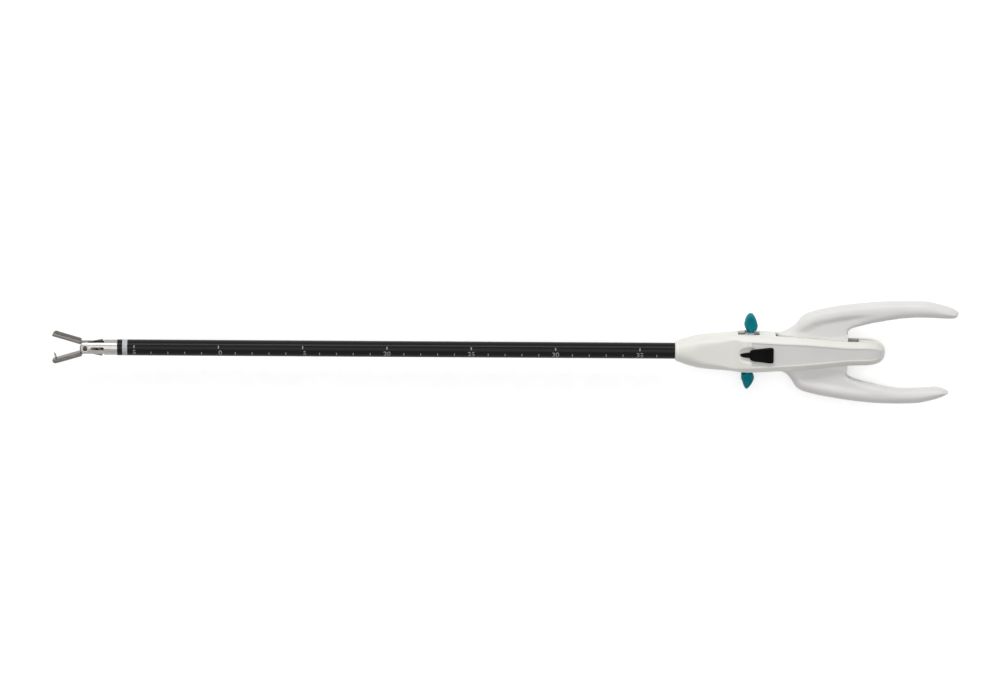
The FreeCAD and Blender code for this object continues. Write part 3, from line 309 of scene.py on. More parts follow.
# %% [markdown]
# ## Steel
# The jaws, clevis and pins are stainless steel, turned and then polished along the part.
# Metal keeps Blender's default IOR: its colour and roughness say everything. The fine
# lines of turning are 0.12 mm apart, drawn 0.25 mm wide so that they show in the render.

# %% Steels
LINE_WIDTH = 0.25 * MM
LINE_LENGTH = 6 * MM
LINE_DEPTH = 0.008 * MM


def steel(name, dark, light, roughness):
    """A polished steel with fine lines along the part."""
    material, tree = start_material(name)
    lines = along_shaft(tree, LINE_WIDTH, LINE_LENGTH)
    colour = add_node(tree, "ValToRGB", {"Fac": lines.outputs["Fac"]})
    set_ramp(colour, [(0.3, dark), (0.7, light)])
    gloss = add_node(tree, "MapRange", {"Value": lines.outputs["Fac"], "To Min": roughness - 0.05,
                                        "To Max": roughness + 0.08})
    soft = add_node(tree, "Bump", {"Height": lines.outputs["Fac"], "Distance": LINE_DEPTH,
                                   "Strength": 0.4})
    skin = add_node(tree, "BsdfPrincipled", {"Base Color": colour.outputs["Color"], "Metallic": 1.0,
                                             "Roughness": gloss.outputs[0],
                                             "Normal": soft.outputs[0]})
    add_node(tree, "OutputMaterial", {"Surface": skin.outputs[0]})
    return material


steel_jaw = steel("stainless_jaw_polished", "#4C4A47", "#706D69", 0.3)
steel_clevis = steel("stainless_clevis_turned", "#8D8B88", "#B6B4B1", 0.26)
steel_pin = steel("steel_pin_browned", "#3A322C", "#50463D", 0.36)
steel_needle = steel("stainless_needle_bright", "#77777A", "#8E8E91", 0.2)
steel_spring = steel("spring_wire_drawn", "#8C8C8E", "#A8A8AA", 0.3)
print("steels:", [m.name for m in bpy.data.materials if "steel" in m.name or "stainless" in m.name])

# %% [markdown]
# ## Plastics of the mechanism
# Inside the shells sit moulded nylon slides and a soft silicone seal. Nylon is milky and
# a little waxy, so its roughness is middling and its colour uneven over a few millimetres.

# %% Nylon and silicone
nylon_natural = moulded_plastic("nylon_natural", ("#CFCBBB", "#D9D6C8"), "#E2E0D5", 0.45)
nylon_grey = moulded_plastic("nylon_glass_filled_grey", ("#8B8D90", "#97999C"), "#A5A7AA", 0.5)
silicone = moulded_plastic("silicone_grey", ("#8B8E92", "#94979B"), "#9DA0A4", 0.55)
print("plastics inside:", [m.name for m in (nylon_natural, nylon_grey, silicone)])

# %% [markdown]
# ## A finish for every solid
# The solids of the mechanism stay as they come from the CAD model. Each gets the finish
# that its real material would have, also the ones that the moulded pieces hide later.

# %% Finishes of the CAD nodes
FINISHES = {
    "shaft_tube": epoxy_black, "shaft_tip_ring": epoxy_black, "shaft_marker_ring": lacquer_grey,
    "rod_guides": nylon_natural, "shaft_seal": silicone, "jaw_clevis": steel_clevis,
    "jaw_pivot_pin": steel_pin, "cam_pin": steel_pin, "jaw_upper": steel_jaw,
    "jaw_lower": steel_jaw, "needle": steel_needle, "blade_upper": steel_needle,
    "blade_lower": steel_needle, "rod_yoke": steel_pin, "drive_rod": steel_clevis,
    "blade_rod_upper": steel_clevis, "blade_rod_lower": steel_clevis,
    "blade_slider_upper": nylon_natural, "blade_slider_lower": nylon_natural,
    "toggle_plate_front": nylon_grey, "toggle_plate_back": nylon_grey,
    "toggle_drive_pins": steel_pin, "toggle_wing_upper": abs_teal, "toggle_wing_lower": abs_teal,
    # The handles' levers and grips take the greyer ABS, whose tone is painted shade.
    "handle_lever_upper": abs_arm_shaded, "handle_lever_lower": abs_arm_shaded, "handle_grip_upper": abs_arm_shaded,
    "handle_grip_lower": abs_arm_shaded, "arm_pivot_pin_upper": steel_pin,
    "arm_pivot_pin_lower": steel_pin, "crosshead": nylon_grey, "crosshead_pin_upper": steel_pin,
    "crosshead_pin_lower": steel_pin, "return_spring": steel_spring,
    "button_spring": steel_spring, "load_button": abs_black, "button_catch": steel_clevis,
    "housing_front": abs_cream, "housing_back": abs_cream,
}
for name, finish in FINISHES.items():
    nodes[name].data.materials.clear()
    nodes[name].data.materials.append(finish)
print("CAD nodes with a finish:", len(FINISHES), "of", len(nodes))

# %% [markdown]
# ## Smooth curves through a few sizes
# Every moulded form here is a grid: rows of points that run across it, one row after the
# other along it. The sizes are given at a few stations and a smooth curve joins them.
# Monotone cubic slopes are used, because a plain spline would overshoot and bulge.

# %% Curves and grids
WELD = 0.0005 * MM


def smooth_curve(points):
    """A function through (place, value) points, smooth and without overshoot."""
    xs = [p[0] for p in points]
    ys = [p[1] for p in points]
    rises = [(ys[i + 1] - ys[i]) / (xs[i + 1] - xs[i]) for i in range(len(xs) - 1)]
    slopes = [rises[0]]
    for before, after in zip(rises, rises[1:]):
        slopes.append(0.0 if before * after <= 0 else 2 * before * after / (before + after))
    slopes.append(rises[-1])

    def value(x):
        """The curve's height at x."""
        x = min(max(x, xs[0]), xs[-1])
        i = max(0, min(len(xs) - 2, sum(1 for step in xs if step <= x) - 1))
        run = xs[i + 1] - xs[i]
        t = (x - xs[i]) / run
        return ((2 * t ** 3 - 3 * t ** 2 + 1) * ys[i] + (t ** 3 - 2 * t ** 2 + t) * run * slopes[i]
                + (3 * t ** 2 - 2 * t ** 3) * ys[i + 1] + (t ** 3 - t ** 2) * run * slopes[i + 1])

    return value


def smooth_step(x, low, high):
    """0 before low, 1 after high, and an easy curve between them."""
    t = min(max((x - low) / (high - low), 0.0), 1.0)
    return t * t * (3 - 2 * t)


def grid_object(name, rows, keep_face=None):
    """A mesh object from rows of points in mm; keep_face(row, column) may leave faces out."""
    builder = bmesh.new()
    grid = [[builder.verts.new([v * MM for v in point]) for point in row] for row in rows]
    for r in range(len(grid) - 1):
        for c in range(len(grid[r]) - 1):
            if keep_face is None or keep_face(r, c):
                builder.faces.new((grid[r][c], grid[r][c + 1], grid[r + 1][c + 1], grid[r + 1][c]))
    builder.verts.ensure_lookup_table()
    loose = [v for v in builder.verts if not v.link_faces]
    bmesh.ops.delete(builder, geom=loose, context="VERTS")
    bmesh.ops.remove_doubles(builder, verts=builder.verts, dist=WELD)
    bmesh.ops.recalc_face_normals(builder, faces=builder.faces)
    mesh = bpy.data.meshes.new(name)
    builder.to_mesh(mesh)
    builder.free()
    return add_object(name, mesh)


def apply_modifiers(made):
    """Turn the modifiers of an object into plain mesh."""
    bpy.context.view_layer.update()
    source = made.evaluated_get(bpy.context.evaluated_depsgraph_get())
    mesh = bpy.data.meshes.new_from_object(source)
    made.modifiers.clear()
    made.data = mesh


def shade(made, degrees=35):
    """Smooth shading that keeps edges sharper than an angle."""
    made.data.shade_smooth()
    made.data.set_sharp_from_angle(angle=math.radians(degrees))


print("curve check:", round(smooth_curve([(0, 0), (1, 1), (2, 1)])(1.5), 3))

# %% [markdown]
# ## The housing's shape
# The housing is two moulded half shells that meet along the sides. Its nose is round, to
# take the shaft, and has a soft oval flat on the front for a fingertip. Behind it the
# section turns into an octagon with slanted bevels, and the front face is a recessed
# panel. The sizes are those of the CAD housing: half width and half depth in mm.

# %% Housing sizes
HALF_WIDTH = smooth_curve([(0, 5.6), (4.5, 7.4), (9, 8.8), (15, 10.1), (27, 11.0), (38.6, 11.3),
                           (50, 10.9), (62, 10.2), (74, 9.6), (90, 8.3), (104, 7.2), (117, 7.0)])
HALF_DEPTH = smooth_curve([(0, 5.6), (4.5, 7.2), (9, 8.5), (15, 9.9), (27, 11.2), (38.6, 11.9),
                           (50, 12.0), (62, 11.9), (74, 11.1), (90, 9.9), (104, 8.9), (117, 8.1)])
BEVEL = 2.9
EDGE_ROUND = 0.6
PANEL_FRONT = 45.4
PANEL_OPENS = (PANEL_FRONT - 0.3, PANEL_FRONT + 0.15)
PANEL_DEPTH = 0.4
PANEL_FADES = (111.5, 122.5)
TAIL = 124.6
TAIL_START = 112.0
TAIL_POWER = 2.6
SHELL_WALL = 1.5
SEAM_GAP = 0.06
TOGGLE_SLOT = (37.2, 50.0)
ARM_SLOT = (59.5, 109.0)
SLOT_HALF = 5.2


def tail_share(along):
    """How much of the section is left at the rounded rear end."""
    t = max(0.0, (along - TAIL_START) / (TAIL - TAIL_START))
    return max(0.0, 1 - t ** TAIL_POWER) ** (1 / TAIL_POWER)


def half_width(along):
    """Half width of the housing at a place along it."""
    return HALF_WIDTH(along) * tail_share(along)


def half_depth(along):
    """Half depth of the housing at a place along it."""
    return HALF_DEPTH(along) * tail_share(along)


def bevel_width(along):
    """Width of the slanted bevel, narrower towards the rounded rear end."""
    return BEVEL * min(1.0, tail_share(along) + 0.15)


print("widest:", round(max(half_width(x) for x in range(120)), 2), "mm from the axis")

# %% [markdown]
# One quarter of a section is enough: its mirror image makes the other side. Every section
# has the same number of points, so that the rows join into one grid. They crowd where the
# shape turns: at the seam's small chamfer, at both bevel corners and at the panel's edge.

# %% Points across the housing
PANEL_COLUMNS = 16
PANEL_STEP = 0.12
PANEL_MARGIN = 0.06
SEAM_CHAMFER = (0.22, 0.28)
JUST_UNDER = 0.999


def corner_arc(corner, before, after, radius, steps=4):
    """Points that round a corner between its two neighbours."""
    a = (Vector(before) - Vector(corner)).normalized() * radius
    b = (Vector(after) - Vector(corner)).normalized() * radius
    points = []
    for i in range(steps + 1):
        t = i / steps
        points.append(Vector(corner) + a * (1 - t) ** 2 + b * t ** 2)
    return [tuple(p) for p in points]


def quarter_section(along):
    """Points (across, out) from the parting plane round to the middle of the front."""
    w, d = half_width(along), half_depth(along)
    share = tail_share(along)
    bevel = min(bevel_width(along) * JUST_UNDER, w * 0.6, d * 0.6)
    radius = min(EDGE_ROUND, bevel * 0.3)
    side_top, front_side = (w, d - bevel), (w - bevel, d)
    flank = d - bevel - radius
    slot = min(SLOT_HALF, flank * 0.92)
    cut, rise = (v * share for v in SEAM_CHAMFER)
    points = [(w - cut, SEAM_GAP), (w - 0.03 * share, SEAM_GAP + rise)]
    points += [(w, slot * 0.25), (w, slot * 0.6), (w, slot), (w, (slot + flank) / 2)]
    points += corner_arc(side_top, (w, 0), front_side, radius)
    points.append(((side_top[0] + front_side[0]) / 2, (side_top[1] + front_side[1]) / 2))
    points += corner_arc(front_side, side_top, (0, d), radius)
    step = PANEL_STEP * share
    panel = w - bevel - radius - step - PANEL_MARGIN
    points += [(panel + step, d), (panel, d), (panel - step * 0.4, d)]
    inner = panel - step
    points += [(inner * (1 - i / PANEL_COLUMNS), d) for i in range(PANEL_COLUMNS + 1)]
    return points


SECTION_COLUMNS = len(quarter_section(50))
PANEL_COLUMN = SECTION_COLUMNS - PANEL_COLUMNS - 1
print("columns across a quarter:", SECTION_COLUMNS)

# %% [markdown]
# The nose and the small hollows are pressed into those sections: towards the shaft each
# point slides onto a rounder curve, the oval flat cuts the crown with a plane, and the
# thumb button sits behind a scooped dish.

# %% Nose, oval flat, panel and dish
NOSE_OPENS = (4, 34)
NOSE_ENDS = (24, PANEL_FRONT - 0.4)
FLAT_START, FLAT_LEVEL, FLAT_RISE = 7.0, 8.35, 0.045
FLAT_END, FLAT_RUNOUT = 33.5, 0.11
FLAT_SOFTNESS = 0.9
FRONT_FACE = 4.0
DISH_AT, DISH_LENGTH, DISH_WIDTH, DISH_DEPTH = 43.6, 6.4, 4.8, 1.5
DISH_FADES = (45.4, 47.5)


def soft_minimum(a, b, softness):
    """The smaller of two values, with the corner between them rounded."""
    h = max(softness - abs(a - b), 0.0) / softness
    return min(a, b) - h * h * softness / 4


def round_nose(point, along):
    """Slide a section point towards a superellipse, more so near the nose."""
    across, out = point
    w, d = half_width(along), half_depth(along)
    power = 2.0 + 0.5 * smooth_step(along, *NOSE_OPENS)
    scale = ((abs(across) / w) ** power + (max(out, 0.0) / d) ** power) ** (-1 / power)
    blend = 1 - smooth_step(along, *NOSE_ENDS)
    return across * (1 + (scale - 1) * blend), out * (1 + (scale - 1) * blend)


def flat_level(along):
    """Height of the plane that cuts the oval flat into the nose."""
    level = FLAT_LEVEL + FLAT_RISE * (along - FLAT_START)
    return level + FLAT_RUNOUT * max(0.0, along - FLAT_END) ** 1.6


def front_point(point, along, column):
    """A point of the front shell: nose rounded, oval flat, panel and dish pressed in."""
    across, out = round_nose(point, along)
    if out > FRONT_FACE:
        out = soft_minimum(out, flat_level(along), FLAT_SOFTNESS)
    panel = smooth_step(along, *PANEL_OPENS)
    panel *= 1 - smooth_step(along, *PANEL_FADES)
    if column >= PANEL_COLUMN - 1:
        out -= PANEL_DEPTH * panel * (1.0 if column >= PANEL_COLUMN else 0.6)
    reach = ((along - DISH_AT) / DISH_LENGTH) ** 2 + (across / DISH_WIDTH) ** 2
    if reach < 1 and out > FRONT_FACE:
        out -= DISH_DEPTH * (1 - reach) ** 0.6 * (1 - smooth_step(along, *DISH_FADES))
    return across, out


def back_point(point, along, column):
    """The back shell has the same nose, and a plain flat back."""
    return round_nose(point, along)


def add_stations():
    """Places along the housing, closer together where the shape changes quickly."""
    places = [0.0, 0.15, 0.5, 1.0, 1.8, 3.0, 4.5, 6.0, 7.5]
    places += [9 + 1.1 * i for i in range(24)]
    places += [35.4 + 0.45 * i for i in range(22)]
    places += [*PANEL_OPENS, PANEL_FRONT - 0.15, PANEL_FRONT, 46.0]
    places += [46.8 + 1.6 * i for i in range(41)]
    places += [*TOGGLE_SLOT, *ARM_SLOT]
    places += [112.4, 114.0, 115.6, 117.0, 118.4, 119.5, 120.6, 121.6, 122.4, 123.1, 123.7, 124.1,
               124.4, 124.55]
    places = sorted(set(round(p, 3) for p in places))
    kept = [places[0]]
    for place in places[1:]:
        if place - kept[-1] > 0.1:
            kept.append(place)
        elif place in (*TOGGLE_SLOT, *ARM_SLOT):
            kept[-1] = place
    return kept


STATIONS = add_stations()
print("stations along the housing:", len(STATIONS))

# %% [markdown]
# A shell starts inside the collar, on the bore that holds the shaft, turns over the
# collar's chamfered rim and then runs to the tail. Faces are left out where the toggle and
# the squeeze handles come through the side, and a Solidify modifier gives the wall.

# %% Make the two shells
COLLAR_BORE = 4.84
COLLAR_RINGS = ((3.0, COLLAR_BORE), (0.35, COLLAR_BORE), (0.05, COLLAR_BORE + 0.2))
COLLAR_CHAMFER = 0.045


def both_sides(along, quarter, facing):
    """A whole row from the points of a quarter and their mirror image."""
    return ([(along, a, o * facing) for a, o in quarter]
            + [(along, -a, o * facing) for a, o in reversed(quarter[:-1])])


def shell_rows(shape, facing):
    """All rows of a half shell; each goes from one side, over the face, to the other."""
    rows = []
    for along, radius in COLLAR_RINGS:
        ring = []
        for across, out in quarter_section(0.0):
            length = math.hypot(across, out)
            ring.append((across / length * radius, max(out, SEAM_GAP) / length * radius))
        rows.append(both_sides(along, ring, facing))
    for along in STATIONS:
        quarter = [shape(p, along, c) for c, p in enumerate(quarter_section(along))]
        swell = 1 - COLLAR_CHAMFER * (1 - smooth_step(along, 0, 1.0))
        rows.append(both_sides(along, [(a * swell, o * swell) for a, o in quarter], facing))
    end = rows[-1]
    rows.append([(TAIL, 0, sum(p[2] for p in end) / len(end)) for p in end])
    return rows


WINDOW_COLUMN = 4


def shell_face_is_kept(row, column):
    """False where the toggle's or a handle's slot opens the side of the shell."""
    across = 2 * SECTION_COLUMNS - 2
    near_seam = column < WINDOW_COLUMN or column >= across - WINDOW_COLUMN
    station = row - len(COLLAR_RINGS)
    if station < 0 or station >= len(STATIONS) - 1:
        return True
    along = (STATIONS[station] + STATIONS[station + 1]) / 2
    in_slot = TOGGLE_SLOT[0] < along < TOGGLE_SLOT[1] or ARM_SLOT[0] < along < ARM_SLOT[1]
    return not (near_seam and in_slot)


def make_shell(name, shape, facing):
    """One half shell: its outside as a grid, then the wall inwards from it."""
    shell = grid_object(name, shell_rows(shape, facing), shell_face_is_kept)
    wall = shell.modifiers.new("wall", "SOLIDIFY")
    wall.thickness = SHELL_WALL * MM
    wall.offset = -1
    wall.use_even_offset = False
    apply_modifiers(shell)
    shade(shell, 32)
    shell.data.materials.append(abs_cream)
    return shell


front_shell = make_shell("housing_front_moulded", front_point, 1)
back_shell = make_shell("housing_back_moulded", back_point, -1)
for shell, node in ((front_shell, "housing_front"), (back_shell, "housing_back")):
    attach(shell, "frame")
    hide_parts(node)
    print(shell.name, len(shell.data.polygons), "faces")

# %% [markdown]
# The recessed panel is moulded in the same shot, but its floor has a finer, more matt
# texture. It is drawn greyer and darker than the cream, as painted shade of the recessed
# face. The faces that lie on the panel floor get a second material slot.

# %% Panel finish with painted shade
PANEL_FACE_STARTS = PANEL_FRONT + 0.1
PANEL_FACE_TILT = 0.8
PANEL_FACE_INSET = EDGE_ROUND * 0.75 + 0.2
PANEL_FACE_BELOW = 1.2

front_shell.data.materials.append(abs_panel_shaded)
shaded_panel_faces = 0
for face in front_shell.data.polygons:
    centre = face.center / MM
    if centre.x < PANEL_FACE_STARTS or face.normal.z < PANEL_FACE_TILT:
        continue
    across = half_width(centre.x) - bevel_width(centre.x) - PANEL_FACE_INSET
    if abs(centre.y) < across and centre.z > half_depth(centre.x) - PANEL_FACE_BELOW:
        face.material_index = 1
        shaded_panel_faces += 1
print("panel faces:", shaded_panel_faces)

# %% [markdown]
# ## Squeeze handles
# Each handle is one moulded lever: a flat web that comes out of the housing's side, and a
# plump finger grip along its outer edge. It is drawn as a net between an outer and an inner
# edge. The height of each net point depends on how far it lies from the edges, which
# rounds the grip like a pillow and lets the web sink below it. The outlines are in mm,
# along the instrument and out from its axis.

# %% Handle outlines
UPPER_OUTER = [(60.6, 11.0), (63.0, 12.0), (66.0, 13.4), (69.0, 15.0), (71.6, 17.2), (74.2, 20.4),
               (77.4, 23.0), (82.0, 24.7), (90.0, 26.6), (100.0, 28.3), (112.0, 29.7),
               (124.0, 30.6), (136.0, 31.0), (147.0, 30.9), (154.0, 29.7), (160.0, 28.2),
               (165.0, 26.4), (168.0, 24.3)]
UPPER_INNER = [(102.3, 10.9), (102.4, 11.3), (102.4, 11.8), (102.5, 12.3), (102.7, 12.9),
               (103.2, 13.6), (104.2, 14.3), (106.2, 15.1), (109.5, 15.9), (114.0, 17.0),
               (121.0, 18.4), (129.0, 19.8), (137.0, 20.8), (145.0, 21.2), (152.0, 21.0),
               (158.0, 20.7), (163.0, 20.6), (166.0, 20.9)]
LOWER_OUTER = [(60.6, 11.0), (63.0, 11.8), (65.6, 13.0), (68.0, 15.2), (70.0, 18.0), (72.0, 21.2),
               (75.0, 23.2), (80.0, 24.8), (88.0, 26.6), (98.0, 28.3), (108.0, 29.7),
               (120.0, 30.8), (132.0, 31.1), (143.0, 30.8), (150.0, 29.6), (156.0, 28.0),
               (160.0, 26.4), (162.8, 24.8)]
LOWER_INNER = [(102.3, 10.9), (102.4, 11.3), (102.3, 11.8), (102.2, 12.4), (102.2, 13.0),
               (102.5, 13.8), (103.4, 14.7), (105.0, 15.7), (108.5, 16.8), (113.0, 18.0),
               (120.0, 19.5), (128.0, 21.1), (136.0, 21.9), (143.0, 21.6), (150.0, 21.2),
               (155.0, 21.0), (159.0, 21.6), (161.6, 22.8)]
ROOT_LEVEL = smooth_curve([(60.0, 9.7), (76.0, 9.2), (84.0, 8.6), (90.0, 8.9), (96.0, 9.9),
                           (103.0, 11.0)])


def matched_line(points, per_span):
    """Points on a smooth line with the same number between each two given ones."""
    numbers = list(range(len(points)))
    along = smooth_curve(list(zip(numbers, [p[0] for p in points])))
    out = smooth_curve(list(zip(numbers, [p[1] for p in points])))
    count = (len(points) - 1) * per_span
    return [(along(i / per_span), out(i / per_span)) for i in range(count + 1)]


def distance_to(line, point):
    """Shortest distance from a point to a line of points."""
    best = 1e9
    for a, b in zip(line, line[1:]):
        run = (b[0] - a[0], b[1] - a[1])
        square = run[0] ** 2 + run[1] ** 2
        t = ((point[0] - a[0]) * run[0] + (point[1] - a[1]) * run[1]) / square if square else 0
        t = min(max(t, 0.0), 1.0)
        best = min(best, math.hypot(point[0] - a[0] - t * run[0], point[1] - a[1] - t * run[1]))
    return best


print("handle outline points:", len(UPPER_OUTER), "outer,", len(UPPER_INNER), "inner")

# %% [markdown]
# The grip's edges are round and the web's are crisper, so the pillow's radius changes on
# the way. The net gets more points between two given ones, and crowds them at both edges.

# %% Handle meshes
GRIP_HALF = 6.1
WEB_HALF = 4.8
WEB_STARTS = (6.0, 7.8)
WEB_FADES = (100, 122)
NECK_HALF = 4.9
NECK_FADES = (12.0, 17.0)
OUTER_ROUND = 5.2
INNER_ROUND = (1.6, 5.0)
INNER_ROUND_GROWS = (102, 118)
ACROSS = [0.0, 0.012, 0.035, 0.07, 0.12, 0.18, 0.25, 0.33, 0.42, 0.5, 0.58, 0.67, 0.75, 0.82,
          0.88, 0.93, 0.965, 0.988, 1.0]
PER_SPAN = 5


def pillow(distance, radius, power=2.3):
    """0 at an edge, rising like the side of a pillow to 1 at a distance of the radius."""
    t = 1 - min(max(distance / radius, 0.0), 1.0)
    return (1 - t ** power) ** (1 / power)


def handle_half_height(point, outer, inner):
    """Half thickness of a handle at a point between its outer and inner edge."""
    from_outer = distance_to(outer, point)
    from_inner = distance_to(inner, point)
    web = smooth_step(from_outer, *WEB_STARTS) * (1 - smooth_step(point[0], *WEB_FADES))
    growth = (INNER_ROUND[1] - INNER_ROUND[0]) * smooth_step(point[0], *INNER_ROUND_GROWS)
    height = GRIP_HALF + (WEB_HALF - GRIP_HALF) * web
    neck = 1 - smooth_step(point[1], *NECK_FADES)
    height += (min(height, NECK_HALF) - height) * neck
    rounding = min(pillow(from_outer, OUTER_ROUND), pillow(from_inner, INNER_ROUND[0] + growth))
    return height * rounding


def handle_net(outer, inner):
    """Rows of (along, out, half height) across the handle, from its root to its tip."""
    outer_line = matched_line(outer, PER_SPAN)
    inner_line = matched_line(inner, PER_SPAN)
    rows = []
    for a, b in zip(outer_line, inner_line):
        rows.append([(a[0] + (b[0] - a[0]) * t, a[1] + (b[1] - a[1]) * t) for t in ACROSS])
    tip = ((outer_line[-1][0] + inner_line[-1][0]) / 2 + 0.7,
           (outer_line[-1][1] + inner_line[-1][1]) / 2 - 0.3)
    rows.append([tip] * len(ACROSS))
    edges = (outer_line + [tip], inner_line + [tip])
    net = [[(x, y, handle_half_height((x, y), *edges)) for x, y in row] for row in rows]
    root = [(x, ROOT_LEVEL(x), h) for x, y, h in net[0]]
    return [root] + net


def make_handle(name, outer, inner, sign):
    """A handle from its net: loops of points round the front and the rear."""
    net = handle_net(outer, inner)
    loops = []
    for row in net:
        front = [(x, y * sign, h) for x, y, h in row]
        rear = [(x, y * sign, -h) for x, y, h in reversed(row[1:-1])]
        loops.append(front + rear + [front[0]])
    middle = [(sum(p[0] for p in loops[0]) / len(loops[0]), loops[0][0][1], 0)] * len(loops[0])
    handle = grid_object(name, [middle] + loops)
    shade(handle, 50)
    handle.data.materials.append(abs_arm_shaded)
    return handle


upper_handle = make_handle("handle_upper_moulded", UPPER_OUTER, UPPER_INNER, 1)
lower_handle = make_handle("handle_lower_moulded", LOWER_OUTER, LOWER_INNER, -1)
print("handle faces:", len(upper_handle.data.polygons), len(lower_handle.data.polygons))

# %% [markdown]
# Inside the slot the web is cut away, to clear the crosshead. A thin lip on its front and
# on its back runs on into the slot, so that no gap opens at the root when the handle is
# squeezed or let go. Each lip lies flush with the web and rides on the handle.

# %% Lips at the handles' roots
LIP_SPAN = (82.0, 102.3)
LIP_EDGE = smooth_curve([(82.0, 8.7), (90.0, 8.0), (96.0, 7.6), (102.3, 7.2)])
LIP_TOP = 11.6
LIP_LEVELS = (4.62, 4.79)
LIP_STEPS = 30


def make_lip(name, sign, facing):
    """A thin lip on one face of a handle's web: a bar of four-sided rings."""
    low, high = (level * facing for level in LIP_LEVELS)
    rows = []
    for i in range(LIP_STEPS + 1):
        x = LIP_SPAN[0] + (LIP_SPAN[1] - LIP_SPAN[0]) * i / LIP_STEPS
        inner, outer = LIP_EDGE(x) * sign, LIP_TOP * sign
        ring = [(x, outer, low), (x, outer, high), (x, inner, high), (x, inner, low)]
        rows.append(ring + [ring[0]])
    rows = [[rows[0][0]] * 5] + rows + [[rows[-1][0]] * 5]
    lip = grid_object(name, rows)
    shade(lip, 30)
    lip.data.materials.append(abs_arm_shaded)
    return lip


for handle, side, sign in ((upper_handle, "upper", 1), (lower_handle, "lower", -1)):
    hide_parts("handle_grip_" + side)
    lips = [make_lip("handle_" + side + "_lip_" + face, sign, facing)
            for face, facing in (("front", 1), ("back", -1))]
    for piece in (handle, *lips):
        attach(piece, side + "_handle")
    print(handle.name, "and", [lip.name for lip in lips])

# %% [markdown]
# ## Toggle wings
# Two teal leaf-shaped wings tilt together under thumb and finger and slide the blades that
# pass the needle from jaw to jaw. Each is a small pillow with a soft dent for the
# fingertip. The outlines are in mm, along the instrument and out from its axis.

# %% Toggle wings
UPPER_WING = [
    [(43.1, 11.9), (41.6, 14.0), (40.8, 16.6), (41.2, 18.6), (42.0, 21.0), (43.3, 22.7)],
    [(46.3, 11.9), (48.4, 13.3), (49.0, 15.4), (48.4, 18.0), (47.3, 20.8), (45.9, 22.8)]]
LOWER_WING = [
    [(41.2, 11.9), (39.4, 13.5), (39.4, 16.0), (40.2, 18.4), (41.1, 21.0), (41.9, 22.3)],
    [(45.2, 11.9), (46.8, 14.0), (47.2, 16.0), (46.5, 18.2), (45.1, 20.6), (43.6, 22.3)]]
WING_HALF = 4.7
WING_EDGE = 2.0
WING_PER_SPAN = 4
DENT = 0.7
DENT_RADIUS = 3.2
DENT_LEVEL = 17.0
DENT_ROW = 2 * WING_PER_SPAN


def make_wing(name, sides, sign):
    """A wing from its two side lines, as a pillow with a dent on both faces."""
    left, right = (matched_line(side, WING_PER_SPAN) for side in sides)
    dent_at = (left[DENT_ROW][0] + right[DENT_ROW][0]) / 2
    tip = ((left[-1][0] + right[-1][0]) / 2, max(left[-1][1], right[-1][1]) + 0.4)
    rows = [[(a[0] + (b[0] - a[0]) * t, a[1] + (b[1] - a[1]) * t) for t in ACROSS]
            for a, b in zip(left, right)] + [[tip] * len(ACROSS)]
    edge = left + [tip] + list(reversed(right))
    loops = []
    for row in rows:
        heights = []
        for x, y in row:
            from_centre = math.hypot(x - dent_at, (y - DENT_LEVEL) * 0.7)
            dent = DENT * max(0.0, 1 - (from_centre / DENT_RADIUS) ** 2)
            heights.append(WING_HALF * pillow(distance_to(edge, (x, y)), WING_EDGE, 2.0) - dent)
        front = [(x, y * sign, max(h, 0.0)) for (x, y), h in zip(row, heights)]
        rear = [(x, y * sign, -max(h, 0.0)) for (x, y), h in zip(row[1:-1], heights[1:-1])]
        loops.append(front + rear[::-1] + [front[0]])
    middle = [((left[0][0] + right[0][0]) / 2, loops[0][0][1], 0)] * len(loops[0])
    wing = grid_object(name, [middle] + loops)
    shade(wing, 45)
    wing.data.materials.append(abs_teal)
    return wing


for side, sides, sign in (("upper", UPPER_WING, 1), ("lower", LOWER_WING, -1)):
    wing = make_wing("toggle_" + side + "_moulded", sides, sign)
    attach(wing, "toggle")
    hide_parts("toggle_wing_" + side)
    print(wing.name, len(wing.data.polygons), "faces")

# %% [markdown]
# ## Load button
# The black button slides back to load a fresh needle. It widens towards the rear, has a
# hollow for the thumb and three low ribs across it, and a narrow tongue runs forward into
# the dish. Its top is one net of rows across: each point has a share of the half width,
# and a drop that rounds the edge. The outermost points stand at the foot.

# %% Load button
BUTTON_SPAN = (44.0, 58.0)
BUTTON_STEPS = 64
BUTTON_HALF = smooth_curve([(44.0, 2.3), (44.6, 2.9), (46.4, 3.5), (50, 3.95), (56.6, 4.6),
                            (57.6, 4.4), (58.0, 3.9)])
BUTTON_FOOT = 11.75
BUTTON_TOP = smooth_curve([(44.0, 12.6), (44.8, 13.0), (47, 13.4), (51, 13.1), (56, 13.45),
                           (57.4, 13.4), (58.0, 12.8)])
THUMB_HOLLOW = 0.25
RIBS = (53.0, 54.6, 56.2)
RIB_HEIGHT = 0.22
RIB_HALF = 0.45
TONGUE = [(38.2, 0.4, 11.95), (38.8, 0.95, 12.2), (40.4, 1.3, 12.3), (43.0, 1.6, 12.4),
          (45.4, 1.9, 12.4)]
HALF_PROFILE = ((0.0, 0.0), (0.3, 0.0), (0.6, 0.0), (0.84, 0.0), (0.93, 0.08), (0.985, 0.25),
                (1.0, 0.55), (1.0, None))


def button_row(along, half, top, dip=0.0):
    """Points across the button: up one side, over the rounded top and down the other."""
    row = []
    for share, drop in [(-s, d) for s, d in HALF_PROFILE[:0:-1]] + list(HALF_PROFILE):
        level = BUTTON_FOOT if drop is None else top - drop - dip * (1 - share ** 2)
        row.append((along, share * half, level))
    return row


def at_foot(row):
    """The same row, let down to the button's foot."""
    return [(along, across, BUTTON_FOOT) for along, across, level in row]


